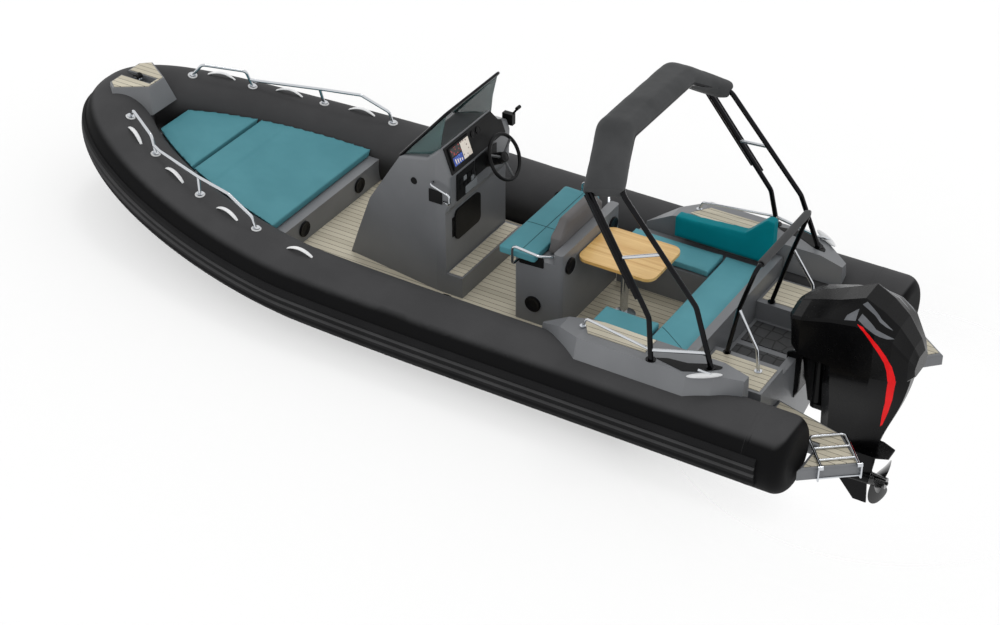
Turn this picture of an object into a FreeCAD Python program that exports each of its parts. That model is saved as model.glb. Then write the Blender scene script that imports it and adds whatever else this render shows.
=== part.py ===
import FreeCAD, Part
import Sketcher
import math
import os
import re
from FreeCAD import Placement, Rotation, Vector

# A rigid inflatable boat afloat: a deep-V hull in an inflated collar, with a console, seats,
# a folded awning on its arch, a stern hoop and a tilting outboard engine.
# Millimetres. X runs forward, Y to port and Z up, from the waterline at the transom's aft face.

# Inflated collar: its centreline is straight aft, bends in to the bow and rises with the sheer
COLLAR = {
    "tube_radius": 280,
    "tube_half_gauge": 988,
    "tube_axis_height": 270,
    "tube_tail": -300,
    "tube_cap_length": 120,
    "tube_cap_round": 105,
    "bow_bend_start": 3611,
    "bow_reach": 6028,
    "bow_fullness_share": 1.405,
    "sheer_start": 1499,
    "bow_rise": 381,
    "sheer_power_share": 3.5,
    "seat_gap": 0.3,
    "strake_base": 8,
    "strake_rib": 14,
    "strake_tail": -240,
    "handle_length": 230,
    "handle_rise": 34,
    "handle_width": 36,
    "handle_bar": 10,
}

# Deep-V hull, its deck, the transom and the stern moulding with the engine well
HULL = {
    "keel_depth": 300,
    "chine_half": 800,
    "chine_height": -5,
    "flange_half": 900,
    "deck_height": 180,
    "sole_thickness": 20,
    "sole_half": 690,
    "transom_thickness": 60,
    "transom_half": 690,
    "transom_notch_height": 395,
    "well_half": 330,
    "well_floor": 300,
    "stern_deck_height": 450,
    "stern_deck_fore": 520,
    "mat_thickness": 6,
    "mat_margin": 30,
    "tread_thickness": 6,
    "tread_margin": 25,
    "platform_low": 110,
    "platform_high": 200,
    "platform_round": 18,
    "platform_inner": 355,
    "platform_knee_x": -540,
    "platform_knee_y": 495,
    "platform_tip_x": -785,
    "platform_tip_y": 742,
    "platform_outer_x": -440,
    "platform_outer_y": 1020,
    "platform_side_y": 703,
}

BOW = {
    "step_high": 949,
    "step_low": 740,
    "step_aft_x": 5702,
    "step_aft_half": 95,
    "step_mid_x": 5946,
    "step_mid_half": 252,
    "step_fore_x": 6027,
    "step_fore_half": 184,
    "step_flare": 60,
    "notch_half": 42,
    "notch_aft_x": 5740,
    "notch_depth": 40,
    "roller_x": 5895,
    "roller_radius": 26,
    "roller_half": 30,
    "roller_pin_radius": 6,
    "running_gap": 0.05,
    "cheek_thickness": 5,
    "cheek_reach": 36,
    "locker_aft_x": 4030,
    "locker_fore_x": 5570,
    "locker_aft_top": 402,
    "locker_fore_top": 600,
    "locker_half": 800,
    "cushion_thickness": 65,
    "cushion_aft_x": 4095,
    "cushion_seam_x": 5034,
    "cushion_seam_gap": 4,
    "cushion_tube_gap": 6,
    "rail_radius": 12.5,
    "rail_bend": 45,
    "foot_radius": 28,
    "foot_height": 14,
}

CONSOLE = {
    "console_aft_x": 2700,
    "console_fore_x": 3640,
    "console_half": 430,
    "console_fore_half": 310,
    "console_taper_x": 2780,
    "console_shin_x": 3560,
    "console_shin_z": 420,
    "console_brow_x": 3430,
    "console_brow_z": 760,
    "console_screen_x": 3110,
    "console_screen_z": 1250,
    "console_top_x": 2860,
    "console_top_z": 1320,
    "dash_top_x": 2735,
    "dash_top_z": 1435,
    "dash_low_x": 2655,
    "dash_low_z": 1215,
    "helm_low_x": 2660,
    "helm_low_z": 960,
    "console_waist_z": 880,
    "console_round": 24,
    "footrest_depth": 140,
    "footrest_height": 175,
    "hood_half": 240,
    "hood_shoulder": 305,
    "hood_shoulder_z": 1338,
    "hood_ledge_z": 1282,
    "hatch_port_y": 305,
    "hatch_starboard_y": -45,
    "hatch_low_z": 600,
    "hatch_high_z": 858,
    "hatch_thickness": 14,
    "hatch_round": 45,
    "hatch_rim": 14,
    "hinge_barrel": 6,
    "hinge_pin": 2.5,
    "hinge_leaf": 22,
    "hinge_gap": 1.5,
    "locker_depth": 330,
    "dash_plate": 8,
    "screen_top_x": 2714,
    "screen_top_z": 1701,
    "screen_half": 374,
    "screen_foot_half": 368,
    "glass_thickness": 6,
    "wheel_x": 2511,
    "wheel_y": -100,
    "wheel_z": 1172,
    "wheel_radius": 172,
    "wheel_rim": 14,
    "wheel_rake": 28,
    "wheel_hub_radius": 38,
    "wheel_hub_length": 36,
    "column_radius": 45,
    "column_gap": 1,
    "column_shaft": 11,
    "throttle_x": 2640,
    "throttle_y": -446,
    "throttle_z": 1235,
}

COCKPIT = {
    "helm_aft_x": 1712,
    "helm_fore_x": 2110,
    "helm_half": 430,
    "helm_top": 760,
    "helm_ledge_x": 1790,
    "helm_ledge_z": 850,
    "helm_cushion_aft_x": 1900,
    "helm_cushion_fore_x": 2220,
    "helm_cushion_half": 497,
    "helm_cushion_thickness": 62,
    "helm_back_half": 330,
    "helm_back_top_half": 210,
    "helm_back_aft_x": 1796,
    "helm_back_fore_x": 1893,
    "helm_back_top": 1040,
    "table_aft_x": 1085,
    "table_fore_x": 1704,
    "table_half": 252,
    "table_top": 757,
    "table_thickness": 25,
    "table_round": 80,
    "pedestal_x": 1426,
    "pedestal_radius": 30,
    "pedestal_flange": 90,
    "pedestal_plate": 12,
    "bench_aft_x": 522,
    "bench_inner_x": 927,
    "bench_inner_half": 373,
    "bench_half": 764,
    "bench_port_x": 1390,
    "bench_starboard_x": 1690,
    "bench_top": 473,
    "bench_back_depth": 70,
    "bench_back_top": 590,
    "bench_cushion_thickness": 60,
    "bench_cushion_half": 655,
    "backrest_aft_x": 560,
    "backrest_fore_x": 1380,
    "backrest_inner": 665,
    "backrest_outer": 758,
    "backrest_fore_top": 725,
    "backrest_mid_x": 800,
    "backrest_mid_top": 770,
    "backrest_aft_top": 920,
    "coaming_fore_x": 1660,
    "coaming_inner": 770,
    "coaming_top": 686,
    "coaming_foot": 470,
}

STERN = {
    "bar_radius": 19,
    "bar_bend": 110,
    "awning_width": 300,
    "awning_height": 140,
    "awning_gap": 1,
    "strut_radius": 13,
    "hoop_radius": 16,
    "hoop_bend": 60,
    "hoop_foot_x": 417,
    "hoop_foot_y": 366,
    "hoop_joint_x": 316,
    "hoop_joint_y": 440,
    "hoop_joint_z": 905,
    "hoop_top_x": 208,
    "hoop_top_z": 1272,
    "brace_x": 130,
    "brace_y": 462,
    "brace_knee_x": 150,
    "brace_knee_z": 640,
    "pad_thickness": 14,
    "ladder_tube": 11,
    "ladder_bend": 35,
}

ENGINE = {
    "tilt_x": -10,
    "tilt_z": 426,
    "tilt_tube_radius": 18,
    "tilt_barrel_radius": 26,
    "bracket_half": 110,
    "bracket_plate": 22,
    "bracket_low": 60,
    "bracket_reach": 36,
    "moving_gap": 6,
    "swivel_x": -140,
    "swivel_radius": 42,
    "swivel_low": 20,
    "swivel_high": 452,
    "swivel_web_half": 34,
    "steer_pin_radius": 22,
    "yoke_radius": 45,
    "yoke_height": 38,
    "cowl_half": 256,
    "cowl_low": 520,
    "cowl_reach": 1000,
    "cowl_aft_x": -868,
    "leg_fore_x": -195,
    "plate_half": 105,
    "plate_thickness": 12,
    "plate_z": -240,
    "plate_fore_x": -300,
    "plate_aft_x": -745,
    "shaft_z": -500,
    "gearcase_radius": 56,
    "gearcase_fore_x": -240,
    "gearcase_aft_x": -606,
    "skeg_low": -730,
    "propeller_radius": 182,
    "propeller_hub_radius": 48,
    "propeller_hub_length": 118,
    "propeller_pitch": 480,
    "propeller_blade_thickness": 11,
    "propeller_shaft": 12,
}

doc = FreeCAD.newDocument("InflatableBoat")
sheet = doc.addObject("Spreadsheet::Sheet", "Sizes")
row = 0
for group in (COLLAR, HULL, BOW, CONSOLE, COCKPIT, STERN, ENGINE):
    for alias, number in group.items():
        row = row + 1
        sheet.set(f"A{row}", alias)
        sheet.set(f"B{row}", str(number))
        sheet.setAlias(f"B{row}", alias)
doc.recompute()

PARTS = []
PLANES = {"top": "XY_Plane", "side": "XZ_Plane", "end": "YZ_Plane"}
UP = Vector(0, 0, 1)
ATHWART = Vector(0, 1, 0)
AHEAD = Vector(1, 0, 0)


def size(alias):
    return float(getattr(sheet, alias))


def bound(text):
    """The same sum, with each alias read from the sheet."""
    return re.sub(r"[a-z][a-z_]*[a-z]", lambda word: "Sizes." + word.group(0), text)


def worth(text):
    return float(sheet.evalExpression(bound(text)))


def keep(thing):
    PARTS.append(thing)
    return thing


def kept(label):
    return [item for item in PARTS if item.Label == label][0]


def largest(shape):
    return max(shape.Solids, key=lambda lump: lump.Volume)


# Outlines and prisms

def outline(body, plane, points, lift="0"):
    """A closed outline of straight sides, each corner tied to the sheet."""
    sketch = body.newObject("Sketcher::SketchObject", body.Name + "_outline")
    planes = [item for item in body.Origin.OriginFeatures if item.Role == PLANES[plane]]
    sketch.AttachmentSupport = [(planes[0], "")]
    sketch.MapMode = "FlatFace"
    sketch.setExpression("AttachmentOffset.Base.z", bound(lift))
    corners = [(worth(across), worth(along)) for across, along in points]
    count = len(corners)
    for number, start in enumerate(corners):
        end = corners[(number + 1) % count]
        sketch.addGeometry(Part.LineSegment(Vector(*start, 0), Vector(*end, 0)), False)
    for number in range(count):
        sketch.addConstraint(Sketcher.Constraint("Coincident", number, 2, (number + 1) % count, 1))
    for number, point in enumerate(points):
        for kind, text, value in zip(("DistanceX", "DistanceY"), point, corners[number]):
            tie = sketch.addConstraint(Sketcher.Constraint(kind, -1, 1, number, 1, value))
            sketch.setExpression(f"Constraints[{tie}]", bound(text))
    return sketch


def prism(label, plane, points, low, high):
    """An outline drawn out between two stations across its plane."""
    body = doc.addObject("PartDesign::Body", label)
    body.Label = label
    lift = f"-({high})" if plane == "side" else low
    pad = body.newObject("PartDesign::Pad", label + "_pad")
    pad.Profile = outline(body, plane, points, lift)
    pad.setExpression("Length", bound(f"({high}) - ({low})"))
    doc.recompute()
    return body


def pocket(body, plane, points, low, high):
    """Cuts an outline out of a body between two stations across its plane."""
    lift = f"-({high})" if plane == "side" else low
    cut = body.newObject("PartDesign::Pocket", body.Name + "_pocket")
    cut.Profile = outline(body, plane, points, lift)
    cut.Reversed = True
    cut.setExpression("Length", bound(f"({high}) - ({low})"))
    doc.recompute()
    return body


def rounded(body, alias, pick):
    """Rounds the edges that pick chooses."""
    tip = body.Tip
    names = [f"Edge{number + 1}" for number, edge in enumerate(tip.Shape.Edges) if pick(edge)]
    fillet = body.newObject("PartDesign::Fillet", body.Name + "_round")
    fillet.Base = (tip, names)
    fillet.setExpression("Radius", bound(alias))
    doc.recompute()
    return body


def corners_of(low_across, high_across, low_along, high_along):
    return [(low_across, low_along), (high_across, low_along),
            (high_across, high_along), (low_across, high_along)]


def block(label, ahead, across, upward):
    return prism(label, "top", corners_of(*ahead, *across), *upward)


def runs(direction):
    """Chooses straight edges that lie along a direction."""
    def pick(edge):
        if len(edge.Vertexes) != 2:
            return False
        reach = edge.Vertexes[1].Point - edge.Vertexes[0].Point
        return abs(reach.normalize().dot(direction)) > 0.999
    return pick


def top_edges(body):
    high = body.Tip.Shape.BoundBox.ZMax
    return lambda edge: edge.BoundBox.ZMin > high - size("seat_gap")


def mirrored(label, thing):
    """A port piece and its starboard twin, kept as one sub-part."""
    twin = doc.addObject("Part::Mirroring", label + "_twin")
    twin.Source = thing
    twin.Normal = ATHWART
    return gathered(label, [thing, twin])


def gathered(label, things):
    both = doc.addObject("Part::Compound", label)
    both.Label = label
    both.Links = things
    doc.recompute()
    return both


def difference(label, base, tool):
    cut = doc.addObject("Part::Cut", label)
    cut.Label = label
    cut.Base = base
    cut.Tool = tool
    doc.recompute()
    return cut


def feature(label, shape):
    item = doc.addObject("Part::Feature", label)
    item.Label = label
    item.Shape = shape
    return item


def mirror_shape(shape):
    return shape.mirror(Vector(0, 0, 0), ATHWART)


def both_sides(shapes):
    return Part.makeCompound(shapes + [mirror_shape(shape) for shape in shapes])


# Bent tubes

def bent_path(points, bend):
    """Straight runs joined by tangent arcs."""
    edges = []
    start = points[0]
    for before, corner, after in zip(points, points[1:], points[2:]):
        into = (corner - before).normalize()
        out = (after - corner).normalize()
        half_turn = into.getAngle(out) / 2
        room = 0.45 * min((corner - before).Length, (after - corner).Length)
        reach = min(bend * math.tan(half_turn), room)
        radius = reach / math.tan(half_turn)
        bisector = (out - into).normalize()
        middle = corner + bisector * (radius / math.cos(half_turn) - radius)
        edges.append(Part.LineSegment(start, corner - into * reach).toShape())
        edges.append(Part.Arc(corner - into * reach, middle, corner + out * reach).toShape())
        start = corner + out * reach
    edges.append(Part.LineSegment(start, points[-1]).toShape())
    return Part.Wire(edges)


def bent_tube(points, bend, radius):
    path = bent_path(points, bend)
    section = Part.Circle(points[0], points[1] - points[0], radius).toShape()
    return path.makePipeShell([Part.Wire(section)], True, True)


# The collar's centreline and the frames across it

def collar_point(turn):
    """A place on the port centreline; turn runs from nought at the bend to a quarter turn."""
    ahead = math.sin(turn)
    start = size("bow_bend_start")
    x = start + (size("bow_reach") - start) * ahead
    y = size("tube_half_gauge") * math.sqrt(max(0, 1 - ahead ** size("bow_fullness_share")))
    return Vector(x, y, collar_height(x))


def collar_height(x):
    climb = max(0, (x - size("sheer_start")) / (size("bow_reach") - size("sheer_start")))
    return size("tube_axis_height") + size("bow_rise") * climb ** size("sheer_power_share")


def sheer_stations():
    """Places and directions along the port tube from where its sheer starts to the bend."""
    start = size("sheer_start")
    bend = size("bow_bend_start")
    stations = []
    for share in (0, 0.25, 0.5, 0.75, 1):
        x = start + (bend - start) * share
        step = size("seat_gap")
        slope = (collar_height(x + step) - collar_height(x)) / step
        stations.append((Vector(x, size("tube_half_gauge"), collar_height(x)), Vector(1, 0, slope)))
    return stations


def bow_stations():
    """Places and directions from the bend to the stem."""
    quarter = math.pi / 2
    stations = sheer_stations()[-1:]
    for share in (0.04, 0.10, 0.19, 0.28, 0.40, 0.52, 0.64, 0.76, 0.88):
        nudge = 0.001
        ahead = collar_point(quarter * (share + nudge)) - collar_point(quarter * (share - nudge))
        stations.append((collar_point(quarter * share), ahead))
    stations.append((collar_point(quarter), Vector(0, -1, 0)))
    return stations


def across(station):
    """Outward and upward directions square to the centreline."""
    place, ahead = station
    ahead = Vector(ahead).normalize()
    outward = UP.cross(ahead).normalize()
    return place, outward, ahead.cross(outward)


def tube_ring(station, radius):
    place, outward, upward = across(station)
    turn = Rotation(outward, upward, Vector(), "XYZ")
    ring = Part.Wire(Part.Circle(Vector(), UP, radius).toShape())
    ring.Placement = Placement(place, turn)
    return ring


def collar_run(radius, tail):
    """The straight run from the tail, then the bend to the stem."""
    straight = Part.makeCylinder(radius, size("sheer_start") - tail,
                                 Vector(tail, size("tube_half_gauge"), size("tube_axis_height")), AHEAD)
    lofts = []
    for stations in (sheer_stations(), bow_stations()):
        rings = [tube_ring(station, radius) for station in stations]
        lofts.append(Part.makeLoft(rings, True, False))
    return straight.multiFuse(lofts)


def port_tube():
    tail = size("tube_tail")
    cap = Part.makeCylinder(size("tube_radius"), size("tube_cap_length"),
                            Vector(tail, size("tube_half_gauge"), size("tube_axis_height")), AHEAD * -1)
    rims = [edge for edge in cap.Edges if edge.BoundBox.XMax < tail - size("tube_cap_length") / 2]
    cap = cap.makeFillet(size("tube_cap_round"), rims)
    return collar_run(size("tube_radius"), tail).fuse(cap)


def tube_room(gap):
    """The space that both tubes take up, with a gap all round."""
    tail = size("tube_tail") - size("tube_cap_length")
    room = collar_run(size("tube_radius") + gap, tail)
    return Part.makeCompound([room, mirror_shape(room)])


# Ribbed rubbing strake round the outside of each tube: angles in degrees above level
STRAKE_EDGE_SHARES = (-26, -14.5, -3, 8.5, 20)


def strake_section(station):
    place, outward, upward = across(station)
    inner = size("tube_radius") + size("seat_gap") * 6
    base = inner + size("strake_base")
    crest = base + size("strake_rib")
    polar = []
    for low, high in zip(STRAKE_EDGE_SHARES, STRAKE_EDGE_SHARES[1:]):
        width = high - low
        polar.append((base, low + width * 0.02))
        polar.append((crest, low + width * 0.25))
        polar.append((crest, low + width * 0.68))
        polar.append((base, low + width * 0.93))
    polar.append((inner, STRAKE_EDGE_SHARES[-1]))
    for angle in reversed(STRAKE_EDGE_SHARES[:-1]):
        polar.append((inner, angle))
    ring = []
    for radius, angle in polar:
        level = math.radians(angle)
        ring.append(place + outward * (radius * math.cos(level)) + upward * (radius * math.sin(level)))
    return Part.makePolygon(ring + ring[:1])


def strake():
    length = size("sheer_start") - size("strake_tail")
    straight = Part.Face(strake_section(sheer_stations()[0])).extrude(AHEAD * -length)
    lofts = []
    for stations in (sheer_stations(), bow_stations()):
        lofts.append(Part.makeLoft([strake_section(station) for station in stations], True, False))
    return straight.multiFuse(lofts)


def crest_station(x):
    """Where the port centreline passes a distance forward, with its direction."""
    bend = size("bow_bend_start")
    if x <= bend:
        return Vector(x, size("tube_half_gauge"), collar_height(x)), AHEAD
    turn = math.asin((x - bend) / (size("bow_reach") - bend))
    nudge = 0.001
    return collar_point(turn), collar_point(turn + nudge) - collar_point(turn - nudge)


HANDLE_SHARES = (0.5989, 0.7249, 0.8279, 0.9175)


def grab_handle(x):
    """An arched strap with a flat foot at each end, on the crest of the tube."""
    place, outward, upward = across(crest_station(x))
    half = size("handle_length") / 2
    rise = size("handle_rise")
    bar = size("handle_bar")
    foot = half * 0.72
    arch = [Vector(-half, 0, 0), Vector(-half, 0, bar), Vector(-foot, 0, bar)]
    arch = Part.makePolygon(arch)
    over = Part.Arc(Vector(-foot, 0, bar), Vector(0, 0, rise + bar), Vector(foot, 0, bar)).toShape()
    under = Part.Arc(Vector(foot * 0.9, 0, 0), Vector(0, 0, rise), Vector(-foot * 0.9, 0, 0)).toShape()
    right = Part.makePolygon([Vector(foot, 0, bar), Vector(half, 0, bar), Vector(half, 0, 0),
                              Vector(foot * 0.9, 0, 0)])
    left = Part.makePolygon([Vector(-foot * 0.9, 0, 0), Vector(-half, 0, 0)])
    rim = Part.Wire(arch.Edges + [over] + right.Edges + [under] + left.Edges)
    strap = Part.Face(rim).extrude(ATHWART * size("handle_width"))
    strap.translate(ATHWART * (-size("handle_width") / 2))
    ahead = outward.cross(upward)
    strap.Placement = Placement(place + upward * (size("tube_radius") - size("seat_gap") * 6),
                                Rotation(ahead, outward, upward, "XYZ"))
    return strap


# Hull: keel, chine and flange at stations along it
HULL_STATION_SHARES = (0, 0.25, 0.5, 0.66, 0.78, 0.88, 0.95)
KEEL_LIFT_SHARES = (0, 0, 0.02, 0.14, 0.42, 0.95, 1.75)
BEAM_SHARES = (1, 1, 0.985, 0.90, 0.74, 0.52, 0.27)


def hull_section(share, lift, beam):
    x = size("bow_reach") * share
    rise = collar_height(x) - size("tube_axis_height")
    keel = -size("keel_depth") + size("keel_depth") * lift
    chine = size("chine_height") + rise
    deck = size("deck_height") + rise
    half = size("chine_half") * beam
    flange = size("flange_half") * beam
    port = [Vector(x, half, max(chine, keel + size("seat_gap"))), Vector(x, flange, deck)]
    starboard = [Vector(point.x, -point.y, point.z) for point in reversed(port)]
    ring = [Vector(x, 0, keel)] + port + starboard
    return Part.makePolygon(ring + ring[:1])


def hull_solid(room):
    rows = zip(HULL_STATION_SHARES, KEEL_LIFT_SHARES, BEAM_SHARES)
    body = Part.makeLoft([hull_section(*row) for row in rows], True, False)
    level = Part.makeBox(size("locker_aft_x"), size("flange_half") * 2, size("bow_reach"),
                         Vector(0, -size("flange_half"), size("deck_height")))
    return body.cut(level).cut(room)


room = feature("tube_room", tube_room(size("seat_gap")))
soft_room = feature("soft_room", tube_room(size("cushion_tube_gap")))

# Collar, strakes and handles


def port_side():
    """Everything to port of the boat's middle, short of it by the seam between the two tubes."""
    reach = size("bow_reach") * 2
    return Part.makeBox(reach * 2, reach, reach * 2, Vector(-reach, size("seat_gap"), -reach))


keep(feature("tube_port", largest(port_tube().common(port_side()))))
keep(feature("tube_starboard", mirror_shape(PARTS[-1].Shape)))
port_strake = strake().cut(kept("tube_port").Shape).common(port_side())
keep(feature("rubbing_strakes", both_sides([largest(port_strake)])))
handles = [grab_handle(size("bow_reach") * share).cut(room.Shape) for share in HANDLE_SHARES]
keep(feature("grab_handles", both_sides([largest(handle) for handle in handles])))

# Hull, transom, engine well and side decks
keep(feature("hull", hull_solid(room.Shape)))
transom_rim = [
    ("-transom_half", "deck_height"),
    ("transom_half", "deck_height"),
    ("transom_half", "stern_deck_height"),
    ("well_half", "stern_deck_height"),
    ("well_half", "transom_notch_height"),
    ("-well_half", "transom_notch_height"),
    ("-well_half", "stern_deck_height"),
    ("-transom_half", "stern_deck_height"),
]
keep(prism("transom", "end", transom_rim, "0", "transom_thickness"))
stern_rim = [
    ("-transom_half", "deck_height"),
    ("transom_half", "deck_height"),
    ("transom_half", "stern_deck_height"),
    ("well_half", "stern_deck_height"),
    ("well_half", "well_floor"),
    ("-well_half", "well_floor"),
    ("-well_half", "stern_deck_height"),
    ("-transom_half", "stern_deck_height"),
]
keep(prism("stern_deck", "end", stern_rim, "transom_thickness", "stern_deck_fore"))
keep(block("cockpit_sole", ("stern_deck_fore", "locker_aft_x"), ("-sole_half", "sole_half"),
           ("deck_height", "deck_height + sole_thickness")))
mat = block("mat_port", ("transom_thickness + mat_margin", "stern_deck_fore - mat_margin"),
            ("mat_margin", "well_half - mat_margin"), ("well_floor", "well_floor + mat_thickness"))
keep(mirrored("well_mats", mat))

# Swim platforms each side of the engine, with a slanted outer edge for the ladder
platform_rim = [
    ("0", "platform_inner"),
    ("platform_knee_x", "platform_knee_y"),
    ("platform_tip_x", "platform_tip_y"),
    ("platform_outer_x", "platform_outer_y"),
    ("platform_outer_x", "platform_side_y"),
    ("0", "platform_side_y"),
]
platform = prism("platform_port", "top", platform_rim, "platform_low", "platform_high")
rounded(platform, "platform_round", top_edges(platform))
keep(mirrored("swim_platforms", platform))

# Bow step: a faceted moulding over the joint of the tubes, slotted for the anchor roller

def step_ring(height, flare):
    half = [(size("step_aft_x") - flare, size("step_aft_half") + flare),
            (size("step_mid_x"), size("step_mid_half") + flare),
            (size("step_fore_x"), size("step_fore_half") + flare)]
    port = [Vector(x, y, height) for x, y in half]
    starboard = [Vector(x, -y, height) for x, y in reversed(half)]
    return Part.makePolygon(port + starboard + port[:1])


def notch_box(low, high):
    return Part.makeBox(size("step_fore_x") - size("notch_aft_x") + size("tube_radius"),
                        size("notch_half") * 2, high - low,
                        Vector(size("notch_aft_x"), -size("notch_half"), low))


def bow_step():
    low = step_ring(size("step_low"), size("step_flare"))
    high = step_ring(size("step_high"), 0)
    solid = Part.makeLoft([low, high], True, True)
    notch = notch_box(size("step_high") - size("notch_depth"), size("step_high") + size("tube_radius"))
    solid = solid.cut(notch).cut(room.Shape)
    return largest(solid)


keep(feature("bow_step", bow_step()))

# Anchor roller on its pin between two cheeks

def roller_bracket():
    half = size("roller_half") + size("cheek_thickness")
    centre = Vector(size("roller_x"), 0, size("step_high"))
    floor = size("step_high") - size("notch_depth")
    base = Part.makeBox(size("cheek_reach") * 4, half * 2, size("cheek_thickness"),
                        Vector(size("roller_x") + size("cheek_reach") / 2 - size("cheek_reach") * 4, -half, floor))
    lumps = [base]
    for side in (-1, 1):
        low = -half if side < 0 else size("roller_half")
        cheek = Part.makeBox(size("cheek_reach"), size("cheek_thickness"), size("step_high") - floor,
                             Vector(size("roller_x") - size("cheek_reach") / 2, low, floor))
        ear = Part.makeCylinder(size("cheek_reach") / 2, size("cheek_thickness"),
                                Vector(centre.x, low, centre.z), ATHWART)
        lumps.extend([cheek, ear])
    pin = Part.makeCylinder(size("roller_pin_radius"), half * 2, Vector(centre.x, -half, centre.z), ATHWART)
    lumps.append(pin)
    return lumps[0].multiFuse(lumps[1:]).removeSplitter()


def anchor_roller():
    half = size("roller_half") - size("seat_gap")
    base = Vector(size("roller_x"), -half, size("step_high"))
    wheel = Part.makeCylinder(size("roller_radius"), half * 2, base, ATHWART)
    groove = Part.makeTorus(size("roller_radius") + size("roller_radius") * 0.45, size("roller_radius") * 0.75,
                            Vector(base.x, 0, base.z), ATHWART)
    bore = Part.makeCylinder(size("roller_pin_radius") + size("running_gap"), half * 2, base, ATHWART)
    return wheel.cut(groove).cut(bore)


keep(feature("bow_roller_bracket", roller_bracket()))
keep(feature("anchor_roller", anchor_roller()))

# Bow rails: places are forward, outboard and up as shares of the bow's reach
RAIL_FORE_SHARES = (
    (0.9387, 0.0662, 0.1400),
    (0.9270, 0.0735, 0.1555),
    (0.8752, 0.1018, 0.1468),
    (0.8680, 0.1052, 0.1240),
)
RAIL_AFT_SHARES = (
    (0.8704, 0.1040, 0.1345),
    (0.8580, 0.1090, 0.1330),
    (0.7768, 0.1340, 0.1322),
    (0.7190, 0.1480, 0.1325),
    (0.6790, 0.1545, 0.1150),
    (0.6737, 0.1548, 0.0970),
)
STRUT_SHARES = ((0.7768, 0.1340, 0.1322), (0.7732, 0.1377, 0.1080))


def shared_spots(table):
    reach = size("bow_reach")
    return [Vector(ahead * reach, outboard * reach, upward * reach) for ahead, outboard, upward in table]


def nearest_axis(point):
    """The place on the port centreline closest to a point."""
    reach = size("bow_reach")
    places = [crest_station(reach * 0.6 + reach * 0.4 * step / 400)[0] for step in range(400)]
    return min(places, key=lambda place: (place - point).Length)


def rail_foot(point):
    """A round pad on the tube under a rail's end."""
    axis = nearest_axis(point)
    normal = (point - axis).normalize()
    return Part.makeCylinder(size("foot_radius"), size("foot_height") * 2,
                             axis + normal * (size("tube_radius") - size("foot_height")), normal)


def bow_rail():
    """Two bent rails that share a foot, and the strut under the longer one."""
    lumps = []
    for table in (RAIL_FORE_SHARES, RAIL_AFT_SHARES, STRUT_SHARES):
        lumps.append(bent_tube(shared_spots(table), size("rail_bend"), size("rail_radius")))
    for table in (RAIL_FORE_SHARES, RAIL_AFT_SHARES, STRUT_SHARES):
        ends = shared_spots(table)
        for point in (ends[0], ends[-1]):
            if (point - nearest_axis(point)).Length < size("tube_radius") + size("foot_height"):
                lumps.append(rail_foot(point))
    return largest(lumps[0].multiFuse(lumps[1:]).cut(room.Shape))


keep(feature("bow_rails", both_sides([bow_rail()])))

# Bow locker under the sunpad, wedged between the tubes

def bow_wedge(low_lift, high_lift, aft, fore):
    """A slab that follows the locker's sloping top, between two lifts above it."""
    slope = (size("locker_fore_top") - size("locker_aft_top")) / (size("locker_fore_x") - size("locker_aft_x"))

    def top(x, lift):
        return size("locker_aft_top") + slope * (x - size("locker_aft_x")) + lift

    rim = [Vector(aft, 0, top(aft, low_lift)), Vector(fore, 0, top(fore, low_lift)),
           Vector(fore, 0, top(fore, high_lift)), Vector(aft, 0, top(aft, high_lift))]
    face = Part.Face(Part.makePolygon(rim + rim[:1]))
    slab = face.extrude(ATHWART * (size("locker_half") * 2))
    slab.translate(ATHWART * -size("locker_half"))
    return slab


def inside_collar():
    """The space between the centrelines of the tubes, the full height of the boat."""
    bend = size("bow_bend_start")
    turns = [math.pi / 2 * step / 12 for step in range(13)]
    port = [Vector(collar_point(turn).x, collar_point(turn).y, 0) for turn in turns]
    start = Vector(0, port[0].y, 0)
    rim = [start] + port + [Vector(point.x, -point.y, 0) for point in reversed(port[:-1])]
    rim = rim + [Vector(0, -start.y, 0)]
    return Part.Face(Part.makePolygon(rim + rim[:1])).extrude(UP * bend)


def bow_locker():
    """A wedge from the rising deck to the sunpad, filled out to the tubes."""
    aft = size("locker_aft_x")
    fore = size("locker_fore_x")
    drop = size("tube_axis_height") - size("deck_height") + size("cushion_thickness") / 2
    low = [Vector(aft + (fore - aft) * step / 8, 0, 0) for step in range(9)]
    low = [Vector(point.x, 0, collar_height(point.x) - drop) for point in low]
    curve = Part.BSplineCurve()
    curve.interpolate(low)
    high_fore = Vector(fore, 0, size("locker_fore_top"))
    high_aft = Vector(aft, 0, size("locker_aft_top"))
    rest = Part.makePolygon([low[-1], high_fore, high_aft, low[0]])
    wedge = Part.Face(Part.Wire([curve.toShape()] + rest.Edges)).extrude(ATHWART * (size("locker_half") * 2))
    wedge.translate(ATHWART * -size("locker_half"))
    return largest(wedge.common(inside_collar()).cut(kept("hull").Shape).cut(room.Shape))


def bow_cushions():
    gap = size("seat_gap")
    lift = size("cushion_thickness")
    seam = size("cushion_seam_x")
    half_seam = size("cushion_seam_gap") / 2
    aft = bow_wedge(gap, lift, size("cushion_aft_x"), seam - half_seam)
    fore = bow_wedge(gap, lift, seam + half_seam, size("locker_fore_x"))
    lumps = []
    for slab in (aft, fore):
        cut = slab.cut(soft_room.Shape)
        lumps.append(largest(cut))
    return Part.makeCompound(lumps)


keep(feature("bow_locker", bow_locker()))
keep(feature("bow_cushions", bow_cushions()))

SOLE_TOP = "deck_height + sole_thickness"

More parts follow.
